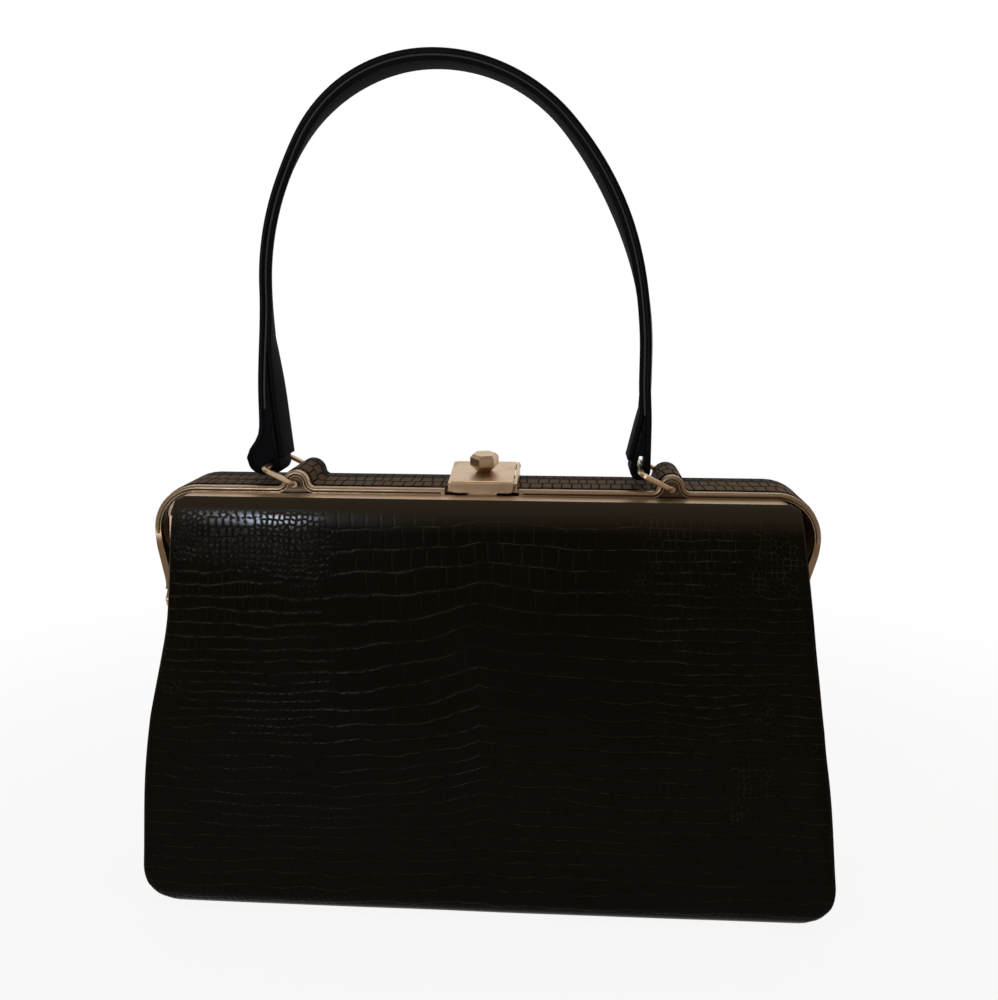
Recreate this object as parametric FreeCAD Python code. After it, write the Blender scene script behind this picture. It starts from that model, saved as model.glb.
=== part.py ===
import FreeCAD, Part
import math
import os

from FreeCAD import Vector

# A frame handbag in millimetres: x to the right, y to the back, z up.
# The origin is the middle of the flat bottom, and the clasp faces minus y.

# Body
BODY_HEIGHT = 177.0          # floor to the top of the front frame
BODY_DEPTH = 80.0            # front to back at the floor, before the edges are rounded
TOP_DEPTH = 47.0             # front of the front frame to the back of the rear frame
BASE_WIDTH = 296.0           # across the floor, before the corners are rounded
WAIST_SHARE = 0.475          # height where the slope of the sides changes, over the body's height
WAIST_TAPER = 8.1            # each side, from the floor to there
WAIST_RADIUS = 600.0         # soft bend of the sides there
TOP_TAPER = 13.4             # each side, from there to the top
CORNER_RADIUS = 19.0         # lower corners, seen from the front
EDGE_RADIUS = 10.0           # lower edges, seen from the side
LEATHER = 1.6
GUSSET = 1.4
TUCK_DROP = 21.0             # the gussets start to fold inwards this far below the hinge
TUCK_LENGTH = 14.0           # height of the inward fold
TUCK_CLEARANCE = 0.3         # tucked gusset inside the hinge rivets
GUSSET_TOP_DROP = 17.0       # top of the gussets below the ledge
GUSSET_SETBACK = 12.0        # tucked gusset behind the front leather
NECK_DROP = 5.0              # the back leather is narrowest this far below the hinge
NECK_RADIUS = 60.0
SHOULDER_DROP = 23.0         # and reaches the rear frame's width this far below the ledge
SHOULDER_RADIUS = 20.0
BOARD = 2.0
BOARD_MARGIN = 2.0
LINING = 0.6
LINING_GAP = 0.3
LINING_MARGIN = 3.0          # free edges of the lining inside their neighbours

# Frames
SHEET = 1.0
RAIL_HEIGHT = 2.5
RAIL_DEPTH = 3.0
FRAME_SETBACK = 8.0          # the rail's sides inside the floor's width
FRAME_CORNER = 19.0          # outer radius of the rail's corners
LEDGE_DEPTH = 12.7           # front frame, front to back
FRAME_GAP = 0.3              # between the ledge and the rail
FRONT_FRAME_SETBACK = 11.0   # the front frame's sides inside the rail
FRONT_FRAME_CORNER = 8.0
HINGE_DROP = 44.0            # hinge rivets below the ledge
LOBE_RADIUS = 3.5            # rounded lower ends of the arms
ARM_CLEARANCE = 0.4          # arms behind the leather
ARM_JOGGLE = 10.0            # bend that brings a rear arm upright above its rivet
ARM_FOOT_RISE = 4.5          # height of that upright stretch above the rivet
ARM_BEND = 14.0              # rounding of the rear arm's edges
REAR_ARM_FRONT_DROP = 20.0   # below the ledge, where the rear arm's front edge turns to the hinge
REAR_ARM_BACK_DROP = 22.0
FRONT_ARM_STEP = 8.0         # height of the front frame's full-depth part
FRONT_ARM_BACK_DROP = 14.0
COVER = 1.1
PANEL_GAP = 0.3              # leather inside the frames
SEAM_GAP = 0.05              # between glued or sewn layers
RETAINER_THICKNESS = 1.2
RETAINER_HEIGHT = 9.0
RETAINER_GAP = 0.2
RETAINER_MARGIN = 4.0
FOLD_RISE = 8.0              # lower edge of the swinging leather above the hinge
FOLD_GAP = 1.6

# Rivets and washers
RIVET_RADIUS = 1.5
RIVET_HEAD_RADIUS = 2.8
RIVET_HEAD = 1.0
WASHER = 1.2
WASHER_RADIUS = 3.0
RUNNING_FIT = 0.06
PIN_FIT = 0.03
GUSSET_RIVET_DROP = 16.5     # domed pins below the ledge
GUSSET_RIVET_SETBACK = 6.0   # behind the front leather
GUSSET_RIVET_RADIUS = 1.7
GUSSET_RIVET_HEIGHT = 1.3
GUSSET_RIVET_DOME_SHARES = ((1, 0), (0.85, 0.6), (0.5, 1), (0, 1))   # of the radius and the height

# Ring tunnels and rings
TUNNEL_SPAN = 156.8          # between the two tunnels
TUBE_RISE = 4.0              # tube axis above the ledge
ARCH_RADIUS = 4.25           # middle of the bead round the tube
ARCH_FILLET = 3.75
TUBE_GAP = 0.3               # tube inside the bead
AXLE_RADIUS = 1.3            # round lower bar of a ring
RING_BAR = 2.6               # width of the ring's flat bar
RING_THICKNESS = 2.0
RING_CHAMFER = 0.5
RING_HEIGHT = 14.0           # between the middles of the lower and upper bars
RING_BEND = 2.6
RING_CLEARANCE = 0.3
RING_TILT = 26.0             # degrees above level, leaning left

# Clasp
CLASP_WIDTH = 26.0
CLASP_SIDE_GAP = 0.3
CHEEK = 1.2
CHEEK_FRONT_HEIGHT = 2.6
CLASP_FLOOR = 0.8
CLASP_FLOOR_GAP = 1.5        # floor in front of the knuckle
RAIL_GAP_WIDTH = 31.0        # break in the rail for the clasp
FLAP_PLATE = 1.2
FLAP_RISE = 3.8              # of the plate, from the lip's face to the pin
FLAP_EDGE = 1.0              # rounding of the flap's front edge
LIP_HEIGHT = 4.8
LIP_CLEARANCE = 1.0          # lip above the ledge
LIP_CORNER = 2.0
FLAP_PIN_SETBACK = 30.0      # pin behind the lip's face
PIN_RADIUS = 0.8
PIN_END = 0.3                # pin beyond the cheeks
KNUCKLE_RADIUS = 1.8
KNUCKLE_WALL = 1.6           # cheek round the pin
SPRING_THICKNESS = 0.5
SPRING_WIDTH = 9.0
SPRING_FOOT = 8.0
SPRING_RISE = 3.6
SPRING_GAP = 0.3
CATCH_WIDTH = 12.0
CATCH_THICKNESS = 1.2
CATCH_FOOT = 4.0
CATCH_GAP = 0.7              # catch behind the lip
CATCH_HEADROOM = 0.5         # catch below the flap's plate
NOTCH_MARGIN = 3.0           # opening in the band round the catch
KNOB_SETBACK = 15.5          # knob's middle behind the lip's face, along the plate
KNOB_RADIUS = 6.2            # to the corners
KNOB_NECK_RADIUS = 3.1
KNOB_GIRDLE_HEIGHT = 3.2
KNOB_TAPER_HEIGHT = 3.2
KNOB_CROWN_HEIGHT = 1.4
KNOB_CROWN_SHARE = 0.8       # crown's radius over the knob's
KNOB_SIDES = 6
KNOB_TURN = 16.0             # degrees
KNOB_SHANK_RADIUS = 1.3
KNOB_WASHER = 0.6
KNOB_WASHER_RADIUS = 2.6

# Handle
HANDLE_RISE = 178.0          # top of the handle above the ledge
HANDLE_WIDTH = 20.0
HANDLE_LEAN = 24.0           # the arch's top to the left of the middle
LEFT_ARCH_SHARE = 0.5225     # height of the arch above the straight leg, over the handle's rise
RIGHT_ARCH_SHARE = 0.674
LEFT_TOP_SHARE = 0.9         # radius of the arch's top over its half width
RIGHT_TOP_SHARE = 0.82
PLY = 2.4
INNER_PLY = 1.8
CORE_SPACE = 0.8             # between the plies
CORE_MARGIN = 2.0
PLY_GAP = 0.15
LOOP_CLEARANCE = 0.6
TAB_LENGTH = 16.0
TAB_SHOWN = 8.0              # length of the tab below the inner ply

OVERRUN = 50.0               # how far cutting shapes run past the part

# Places that follow from the sizes
HALF_TOP_DEPTH = TOP_DEPTH / 2
HALF_DEPTH = BODY_DEPTH / 2
PANEL_LEAN = (HALF_DEPTH - HALF_TOP_DEPTH) / BODY_HEIGHT
WAIST_HEIGHT = BODY_HEIGHT * WAIST_SHARE
HALF_WAIST = BASE_WIDTH / 2 - WAIST_TAPER
SIDE_LEAN = WAIST_TAPER / WAIST_HEIGHT
LEDGE_Z = BODY_HEIGHT
LEDGE_UNDER_Z = LEDGE_Z - SHEET
LEDGE_FRONT_Y = -HALF_TOP_DEPTH
LEDGE_BACK_Y = LEDGE_FRONT_Y + LEDGE_DEPTH
RAIL_FRONT_Y = LEDGE_BACK_Y + FRAME_GAP
RAIL_BACK_Y = RAIL_FRONT_Y + RAIL_DEPTH
BAND_BACK_Y = HALF_TOP_DEPTH
BAND_Z = LEDGE_Z + RAIL_HEIGHT / 2           # middle of the sheet and of the rail
BAND_TOP_Z = BAND_Z + SHEET / 2
BAND_UNDER_Z = BAND_Z - SHEET / 2
FRAME_X = BASE_WIDTH / 2 - FRAME_SETBACK     # outer face of the rail's sides
FRONT_ARM_X = FRAME_X - FRONT_FRAME_SETBACK - SHEET / 2
REAR_ARM_X = FRONT_ARM_X + SHEET + WASHER
HINGE_Z = LEDGE_Z - HINGE_DROP
FOLD_Z = HINGE_Z + FOLD_RISE
TUCK_HEIGHT = HINGE_Z - TUCK_DROP
ARM_END_Z = HINGE_Z - LOBE_RADIUS - SHEET
RAIL_END_Z = HINGE_Z + ARM_FOOT_RISE
TUBE_X = TUNNEL_SPAN / 2
TUBE_Z = LEDGE_Z + TUBE_RISE
TUBE_RADIUS = ARCH_RADIUS - RAIL_HEIGHT / 2 - TUBE_GAP
RING_FRONT_Y = RAIL_FRONT_Y - RING_BEND - RING_CLEARANCE
RING_BACK_Y = BAND_BACK_Y + RING_BEND + RING_CLEARANCE
FLAP_TOP_Z = LEDGE_Z + LIP_CLEARANCE + LIP_HEIGHT
FLAP_UNDER_Z = FLAP_TOP_Z - FLAP_PLATE
LIP_BACK_Y = RAIL_FRONT_Y + FLAP_PLATE
PIN_Y = RAIL_FRONT_Y + FLAP_PIN_SETBACK
FLAP_SLOPE = math.atan2(FLAP_RISE, FLAP_PIN_SETBACK)
PIN_Z = FLAP_TOP_Z + FLAP_RISE - KNUCKLE_RADIUS / math.cos(FLAP_SLOPE)
CHEEK_X = CLASP_WIDTH / 2 + CLASP_SIDE_GAP   # inner face of a cheek
CATCH_Y = LIP_BACK_Y + CATCH_GAP             # front face of the catch
CATCH_BACK_Y = CATCH_Y + CATCH_FOOT
NOTCH_BACK_Y = CATCH_BACK_Y + CATCH_GAP
FLOOR_TOP_Z = BAND_TOP_Z + CLASP_FLOOR
FLOOR_BACK_Y = PIN_Y - KNUCKLE_RADIUS - CLASP_FLOOR_GAP
KNOB_Y = RAIL_FRONT_Y + KNOB_SETBACK
LINING_INSET = LEATHER + BOARD + LINING_GAP
HANDLE_TOP_Z = LEDGE_Z + HANDLE_RISE
HANDLE_Y = (RING_FRONT_Y + RING_BACK_Y) / 2
EVERYWHERE = (-BASE_WIDTH - OVERRUN, BASE_WIDTH + OVERRUN)
ALL_DEPTH = (-BODY_DEPTH - OVERRUN, BODY_DEPTH + OVERRUN)
ABOVE = BODY_HEIGHT + HANDLE_RISE + OVERRUN
BELOW = -OVERRUN


# Drawing helpers
def front_plane(y):
    """Places an outline's points on an upright plane that faces the viewer."""
    return lambda u, v: Vector(u, y, v)


def side_plane(x):
    """Places an outline's points on an upright plane seen from the side."""
    return lambda u, v: Vector(x, u, v)


def rounded_wire(points, radii, place):
    """A closed wire through the points, with each corner rounded by its radius."""
    corners = []
    for index, (u, v) in enumerate(points):
        corner = Vector(u, v, 0)
        to_before = (Vector(*points[index - 1], 0) - corner).normalize()
        to_after = (Vector(*points[(index + 1) % len(points)], 0) - corner).normalize()
        radius = radii[index]
        if radius == 0:
            corners.append((corner, None, corner))
            continue
        half_angle = to_before.getAngle(to_after) / 2
        reach = radius / math.tan(half_angle)
        middle = corner + (to_before + to_after).normalize() * (radius / math.sin(half_angle) - radius)
        corners.append((corner + to_before * reach, middle, corner + to_after * reach))
    edges = []
    for index, (start, middle, end) in enumerate(corners):
        after = corners[(index + 1) % len(corners)][0]
        if middle is not None:
            arc = Part.Arc(place(start.x, start.y), place(middle.x, middle.y), place(end.x, end.y))
            edges.append(arc.toShape())
        edges.append(Part.makeLine(place(end.x, end.y), place(after.x, after.y)))
    return Part.Wire(edges)


def inset_points(points, inset):
    """The corners of a convex outline, listed anticlockwise, with every side moved inwards."""
    moved = []
    for index, (u, v) in enumerate(points):
        u_before, v_before = points[index - 1]
        u_after, v_after = points[(index + 1) % len(points)]
        before = Vector(u - u_before, v - v_before, 0).normalize()
        after = Vector(u_after - u, v_after - v, 0).normalize()
        slide = inset / (1 + before.dot(after))
        moved.append((u - (before.y + after.y) * slide, v + (before.x + after.x) * slide))
    return moved


def front_prism(points, radii, y_start, y_end):
    face = Part.Face(rounded_wire(points, radii, front_plane(y_start)))
    return face.extrude(Vector(0, y_end - y_start, 0))


def side_prism(points, radii, x_start, x_end):
    face = Part.Face(rounded_wire(points, radii, side_plane(x_start)))
    return face.extrude(Vector(x_end - x_start, 0, 0))


def block(x_range, y_range, z_range):
    """A box between two places on each axis."""
    ranges = (x_range, y_range, z_range)
    sizes = [high - low for low, high in ranges]
    return Part.makeBox(*sizes, Vector(*[low for low, high in ranges]))


def rod_x(radius, x_start, x_end, y, z):
    return Part.makeCylinder(radius, x_end - x_start, Vector(x_start, y, z), Vector(1, 0, 0))


def rod_y(radius, y_start, y_end, x, z):
    return Part.makeCylinder(radius, y_end - y_start, Vector(x, y_start, z), Vector(0, 1, 0))


def rod_z(radius, z_start, z_end, x, y):
    return Part.makeCylinder(radius, z_end - z_start, Vector(x, y, z_start), Vector(0, 0, 1))


def mirrored(shape):
    """The same shape on the other side of the middle."""
    return shape.mirror(Vector(0, 0, 0), Vector(1, 0, 0))


def both_sides(shape):
    return Part.makeCompound([shape, mirrored(shape)])


def one_solid(shape):
    """The single solid of a cut or joined shape, with leftover seams removed."""
    solids = shape.removeSplitter().Solids
    if len(solids) != 1:
        raise ValueError("expected one solid, found %d" % len(solids))
    return solids[0]


def turned(points, foot, direction):
    """A turned piece from half its outline, given as radius and height, stood on foot along a direction."""
    wire = Part.makePolygon([Vector(radius, 0, height) for radius, height in points + points[:1]])
    solid = Part.Face(wire).revolve(Vector(0, 0, 0), Vector(0, 0, 1), 360).Solids[0]
    solid.Placement = FreeCAD.Placement(foot, FreeCAD.Rotation(Vector(0, 0, 1), direction))
    return solid


# Outlines of the leather body
def panel_y(height, inset):
    """Distance of the front or back leather from the middle plane, at a height and a depth in the wall."""
    return HALF_DEPTH - PANEL_LEAN * height - inset * math.hypot(1, PANEL_LEAN)


def side_width(height):
    """Half the body's width at a height above the waist."""
    slope = TOP_TAPER / (BODY_HEIGHT - WAIST_HEIGHT)
    return HALF_WAIST - slope * (height - WAIST_HEIGHT)


def floor_reach(half_width, lean, radius):
    """Where a rounded lower corner meets the floor."""
    corner_angle = math.pi / 2 - math.atan(lean)
    return half_width - radius / math.tan(corner_angle / 2)


FLOOR_X = floor_reach(BASE_WIDTH / 2, SIDE_LEAN, CORNER_RADIUS)
FLOOR_Y = floor_reach(HALF_DEPTH, PANEL_LEAN, EDGE_RADIUS)
HINGE_Y = -panel_y(HINGE_Z, LEATHER) + ARM_CLEARANCE + LOBE_RADIUS
FRONT_SIDE = (ALL_DEPTH[0], 0)
BACK_SIDE = (0, ALL_DEPTH[1])


def body_front(inset, top_z, top_radius):
    """The body's outline from the front, as a prism from front to back."""
    half_top = side_width(top_z + inset)
    points = [(-BASE_WIDTH / 2, 0), (BASE_WIDTH / 2, 0), (HALF_WAIST, WAIST_HEIGHT),
              (half_top, top_z + inset), (-half_top, top_z + inset), (-HALF_WAIST, WAIST_HEIGHT)]
    lower = CORNER_RADIUS - inset
    waist = WAIST_RADIUS - inset
    radii = [lower, lower, waist, top_radius, top_radius, waist]
    return front_prism(inset_points(points, inset), radii, *ALL_DEPTH)


def body_back():
    """The back leather's outline, which widens at its shoulders to close the rear frame."""
    frame_inset = RAIL_HEIGHT / 2 + SHEET / 2 + PANEL_GAP
    half_shoulder = FRAME_X - frame_inset
    top_z = BAND_UNDER_Z - PANEL_GAP
    neck_z = HINGE_Z - NECK_DROP
    right = [(BASE_WIDTH / 2, 0), (HALF_WAIST, WAIST_HEIGHT), (side_width(neck_z), neck_z),
             (half_shoulder, LEDGE_Z - SHOULDER_DROP), (half_shoulder, top_z)]
    right_radii = [CORNER_RADIUS, WAIST_RADIUS / 2, NECK_RADIUS, SHOULDER_RADIUS,
                   FRAME_CORNER - frame_inset]
    points = right + [(-x, z) for x, z in reversed(right)]
    return front_prism(points, right_radii + right_radii[::-1], *ALL_DEPTH)


def body_side(inset):
    """The body's outline from the side, run past its top, as a prism from left to right."""
    top_z = BODY_HEIGHT + OVERRUN
    half_top = panel_y(top_z, 0)
    points = [(-HALF_DEPTH, 0), (HALF_DEPTH, 0), (half_top, top_z), (-half_top, top_z)]
    edge = EDGE_RADIUS - inset
    return side_prism(inset_points(points, inset), [edge, edge, 0, 0], *EVERYWHERE)


def wall(outer_inset, inner_inset):
    """A layer of the front and back walls, down to where their rounded edges meet the floor."""
    layer = body_side(outer_inset).cut(body_side(inner_inset))
    return layer.cut(block(EVERYWHERE, (-FLOOR_Y, FLOOR_Y), (BELOW, EDGE_RADIUS)))


# Leather, lining and board
def make_front_panel_lower():
    """Leather below the fold, with notches in its top corners for the swinging arms."""
    part = wall(0, LEATHER).common(body_front(0, BODY_HEIGHT, 0))
    part = part.common(block(EVERYWHERE, FRONT_SIDE, (BELOW, FOLD_Z - FOLD_GAP)))
    notch = block((FRONT_ARM_X - SHEET / 2 - ARM_CLEARANCE, EVERYWHERE[1]), FRONT_SIDE,
                  (HINGE_Z - LOBE_RADIUS - ARM_CLEARANCE, ABOVE))
    return one_solid(part.cut(notch).cut(mirrored(notch)))


def make_front_panel_upper():
    top_z = LEDGE_UNDER_Z - PANEL_GAP / 2
    part = wall(0, LEATHER).common(body_front(0, top_z, FRONT_FRAME_CORNER))
    return one_solid(part.common(block(EVERYWHERE, FRONT_SIDE, (FOLD_Z, ABOVE))))


def make_rear_panel():
    part = wall(0, LEATHER).common(body_back())
    return one_solid(part.common(block(EVERYWHERE, BACK_SIDE, (BELOW, ABOVE))))


def make_bottom_panel():
    return block((-FLOOR_X, FLOOR_X), (-FLOOR_Y, FLOOR_Y), (0, LEATHER))


def make_bottom_board():
    half_x = FLOOR_X - BOARD_MARGIN
    half_y = FLOOR_Y - BOARD_MARGIN
    return block((-half_x, half_x), (-half_y, half_y), (LEATHER, LEATHER + BOARD))


def tucked_x():
    """Outer face of the gusset where it stands inside the arms."""
    return FRONT_ARM_X - SHEET / 2 - RIVET_HEAD - TUCK_CLEARANCE


def make_gusset():
    """The right gusset: round the lower corner, up the side, then folded inwards between the arms."""
    strip = body_front(0, BODY_HEIGHT, 0).cut(body_front(GUSSET, BODY_HEIGHT, 0))
    lower = strip.common(block((FLOOR_X, EVERYWHERE[1]), ALL_DEPTH, (BELOW, TUCK_HEIGHT)))
    fold_top = TUCK_HEIGHT + TUCK_LENGTH
    top = LEDGE_Z - GUSSET_TOP_DROP
    outer = side_width(TUCK_HEIGHT)
    inner = outer - GUSSET
    points = [(inner, TUCK_HEIGHT), (outer, TUCK_HEIGHT), (tucked_x(), fold_top), (tucked_x(), top),
              (tucked_x() - GUSSET, top), (tucked_x() - GUSSET, fold_top)]
    upper = front_prism(points, [0] * len(points), *ALL_DEPTH)
    front_limit = GUSSET_SETBACK - panel_y(HINGE_Z, 0)
    upper = upper.cut(block(EVERYWHERE, (ALL_DEPTH[0], front_limit), (fold_top, ABOVE)))
    return one_solid(lower.fuse(upper).common(body_side(LEATHER + SEAM_GAP)))


def make_lining():
    """An open pouch: its sides end below the tuck, its front at the fold, its back near the band."""
    inner_inset = LINING_INSET + LINING
    outer = body_side(LINING_INSET).common(body_front(LINING_INSET, BODY_HEIGHT, 0))
    inner = body_side(inner_inset).common(body_front(inner_inset, BODY_HEIGHT + OVERRUN, 0))
    pouch = outer.cut(inner)
    half_x = tucked_x() - GUSSET - LINING_MARGIN
    middle = (-half_x, half_x)
    keep = block(EVERYWHERE, ALL_DEPTH, (BELOW, TUCK_HEIGHT - LINING_MARGIN))
    keep = keep.fuse(block(middle, (ALL_DEPTH[0], 0), (BELOW, TUCK_HEIGHT + TUCK_LENGTH)))
    keep = keep.fuse(block(middle, (0, ALL_DEPTH[1]), (BELOW, LEDGE_Z - RETAINER_HEIGHT)))
    return one_solid(pouch.common(keep))


def make_front_lining():
    half_x = FRONT_ARM_X - FRONT_FRAME_CORNER
    layer = wall(LEATHER + LINING_GAP, LEATHER + LINING_GAP + LINING)
    return one_solid(layer.common(block((-half_x, half_x), FRONT_SIDE,
                                        (FOLD_Z + LINING_MARGIN, LEDGE_UNDER_Z - PANEL_GAP))))


# Frames
def arc_piece(middle, radius, start_degrees, end_degrees):
    """Start, middle and end of an arc seen from the front."""
    angles = [math.radians(a) for a in (start_degrees, (start_degrees + end_degrees) / 2, end_degrees)]
    return [(middle[0] + radius * math.cos(a), middle[1] + radius * math.sin(a)) for a in angles]


def rear_band_line(offset):
    """The rear frame's line from the middle of its top to the end of its right arm, moved outwards."""
    fillet_z = BAND_Z + ARCH_FILLET
    reach = ARCH_RADIUS + ARCH_FILLET
    lean = math.degrees(math.asin((fillet_z - TUBE_Z) / reach))
    foot = reach * math.cos(math.radians(lean))
    corner = FRAME_CORNER - RAIL_HEIGHT / 2
    corner_x = FRAME_X - FRAME_CORNER
    corner_z = BAND_Z - corner
    joggle_x = REAR_ARM_X + ARM_JOGGLE
    joggle_z = HINGE_Z + ARM_FOOT_RISE
    run = math.hypot(joggle_x - corner_x, joggle_z - corner_z)
    drop_angle = math.atan2(corner_z - joggle_z, joggle_x - corner_x)
    slope = math.degrees(drop_angle - math.acos((corner + ARM_JOGGLE) / run))
    corner_arc = arc_piece((corner_x, corner_z), corner + offset, 90, -slope)
    joggle_arc = arc_piece((joggle_x, joggle_z), ARM_JOGGLE - offset, 180 - slope, 180)
    return [
        [(0, BAND_Z + offset), (TUBE_X - foot, BAND_Z + offset)],
        arc_piece((TUBE_X - foot, fillet_z), ARCH_FILLET - offset, -90, -lean),
        arc_piece((TUBE_X, TUBE_Z), ARCH_RADIUS + offset, 180 - lean, lean),
        arc_piece((TUBE_X + foot, fillet_z), ARCH_FILLET - offset, 180 + lean, 270),
        [(TUBE_X + foot, BAND_Z + offset), (corner_x, BAND_Z + offset)],
        corner_arc,
        [corner_arc[-1], joggle_arc[0]],
        joggle_arc,
        [joggle_arc[-1], (REAR_ARM_X + offset, ARM_END_Z)],
    ]


def front_band_line(offset):
    """The front frame's line from the middle of its top to the end of its right arm, moved outwards."""
    corner = FRONT_FRAME_CORNER - SHEET / 2
    top_z = LEDGE_Z - SHEET / 2
    corner_x = FRONT_ARM_X - corner
    return [
        [(0, top_z + offset), (corner_x, top_z + offset)],
        arc_piece((corner_x, top_z - corner), corner + offset, 90, 0),
        [(FRONT_ARM_X + offset, top_z - corner), (FRONT_ARM_X + offset, ARM_END_Z)],
    ]


def line_edges(pieces, side, y):
    """Edges of a line's straight and round pieces, on the right or mirrored to the left."""
    edges = []
    for piece in pieces:
        points = [Vector(side * x, y, z) for x, z in piece]
        edges.append(Part.makeLine(*points) if len(points) == 2 else Part.Arc(*points).toShape())
    return edges


def band(line, inner_offset, outer_offset, y_start, y_end):
    """A strip that follows a frame's line on both sides, between two offsets."""
    edges = []
    for side in (1, -1):
        inner = line(inner_offset)
        outer = line(outer_offset)
        edges += line_edges(inner, side, y_start) + line_edges(outer, side, y_start)
        edges += line_edges([[inner[-1][-1], outer[-1][-1]]], side, y_start)
    face = Part.Face(Part.Wire(Part.__sortEdges__(edges)))
    return face.extrude(Vector(0, y_end - y_start, 0))


def tangent_corner(front_point, back_point):
    """Where two lines from these points would meet below the hinge lobe that they touch."""
    def touch(point, side):
        away = Vector(point[0] - HINGE_Y, point[1] - HINGE_Z, 0)
        angle = math.atan2(away.y, away.x) + side * math.acos(LOBE_RADIUS / away.Length)
        return (HINGE_Y + LOBE_RADIUS * math.cos(angle), HINGE_Z + LOBE_RADIUS * math.sin(angle))
    y1, z1 = front_point
    y2, z2 = touch(front_point, 1)
    y3, z3 = back_point
    y4, z4 = touch(back_point, -1)
    apart = (y1 - y3) * (z3 - z4) - (z1 - z3) * (y3 - y4)
    closing = (y1 - y2) * (z3 - z4) - (z1 - z2) * (y3 - y4)
    return (y1 + (y2 - y1) * apart / closing, z1 + (z2 - z1) * apart / closing)


def rear_arm_side():
    """The rear frame from the side: full depth at the top, drawn forwards to the hinge below."""
    front = (RAIL_FRONT_Y, LEDGE_Z - REAR_ARM_FRONT_DROP)
    back = (BAND_BACK_Y, LEDGE_Z - REAR_ARM_BACK_DROP)
    points = [tangent_corner(front, back), back, (BAND_BACK_Y, ABOVE), (RAIL_FRONT_Y, ABOVE), front]
    return side_prism(points, [LOBE_RADIUS, ARM_BEND, 0, 0, ARM_BEND], *EVERYWHERE)


def front_arm_side():
    """The front frame from the side: the ledge's depth at the top, behind the leather below."""
    step_z = LEDGE_Z - FRONT_ARM_STEP
    arm_front = (ARM_CLEARANCE - panel_y(step_z, LEATHER), step_z)
    back = (LEDGE_BACK_Y, LEDGE_Z - FRONT_ARM_BACK_DROP)
    points = [(LEDGE_FRONT_Y, step_z), arm_front, tangent_corner(arm_front, back), back,
              (LEDGE_BACK_Y, ABOVE), (LEDGE_FRONT_Y, ABOVE)]
    return side_prism(points, [0, 0, LOBE_RADIUS, ARM_BEND, 0, 0], *EVERYWHERE)


def hinge_holes(fit):
    return rod_x(RIVET_RADIUS + fit, *EVERYWHERE, HINGE_Y, HINGE_Z)


def make_rear_frame():
    """Band with its arms, and the bead rail along its front edge."""
    side = rear_arm_side()
    sheet = band(rear_band_line, -SHEET / 2, SHEET / 2, *ALL_DEPTH).common(side)
    edge_strip = side.cut(side.translated(Vector(0, RAIL_DEPTH, 0)))
    bead = band(rear_band_line, -RAIL_HEIGHT / 2, RAIL_HEIGHT / 2, *ALL_DEPTH).common(edge_strip)
    bead = bead.common(block(EVERYWHERE, ALL_DEPTH, (RAIL_END_Z, ABOVE)))
    half_gap = RAIL_GAP_WIDTH / 2
    half_notch = CATCH_WIDTH / 2 + NOTCH_MARGIN
    clasp_gap = block((-half_gap, half_gap), (ALL_DEPTH[0], RAIL_BACK_Y), (LEDGE_UNDER_Z, ABOVE))
    catch_notch = block((-half_notch, half_notch), (ALL_DEPTH[0], NOTCH_BACK_Y), (LEDGE_UNDER_Z, ABOVE))
    return one_solid(sheet.fuse(bead).cut(clasp_gap).cut(catch_notch).cut(hinge_holes(PIN_FIT)))


def make_frame_cover():
    """Leather glued over the band behind the rail, open round the clasp."""
    side = rear_arm_side()
    behind_rail = side.common(side.translated(Vector(0, RAIL_DEPTH, 0)))
    inner = SHEET / 2 + SEAM_GAP
    strip = band(rear_band_line, inner, inner + COVER, *ALL_DEPTH).common(behind_rail)
    half_clasp = CHEEK_X + CHEEK + CLASP_SIDE_GAP
    clasp_back = cheek_back() + CLASP_SIDE_GAP
    opening = block((-half_clasp, half_clasp), (ALL_DEPTH[0], clasp_back), (LEDGE_Z, ABOVE))
    return one_solid(strip.cut(opening).common(block(EVERYWHERE, ALL_DEPTH, (RAIL_END_Z, ABOVE))))


def make_front_frame():
    """Ledge and arms, with the tab that carries the catch."""
    strip = band(front_band_line, -SHEET / 2, SHEET / 2, *ALL_DEPTH).common(front_arm_side())
    half_tab = CATCH_WIDTH / 2
    tab = block((-half_tab, half_tab), (LEDGE_FRONT_Y + SHEET, CATCH_BACK_Y), (LEDGE_UNDER_Z, LEDGE_Z))
    return one_solid(strip.fuse(tab).cut(hinge_holes(RUNNING_FIT)))


def make_rear_retainer():
    """Strip under the band, between the tunnels, in front of the back leather."""
    half_x = TUBE_X - ARCH_RADIUS - ARCH_FILLET - RETAINER_MARGIN
    back = panel_y(BAND_UNDER_Z, LEATHER) - RETAINER_GAP
    z_range = (LEDGE_Z - RETAINER_HEIGHT, BAND_UNDER_Z)
    return block((-half_x, half_x), (back - RETAINER_THICKNESS, back), z_range)


def make_front_retainer():
    """Strip under the ledge, behind the front leather and its lining."""
    half_x = FRONT_ARM_X - FRONT_FRAME_CORNER - RETAINER_MARGIN
    outer = LEATHER + LINING_GAP + LINING + RETAINER_GAP
    layer = wall(outer, outer + RETAINER_THICKNESS)
    return one_solid(layer.common(block((-half_x, half_x), FRONT_SIDE,
                                        (LEDGE_UNDER_Z - RETAINER_HEIGHT, LEDGE_UNDER_Z))))


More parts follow.
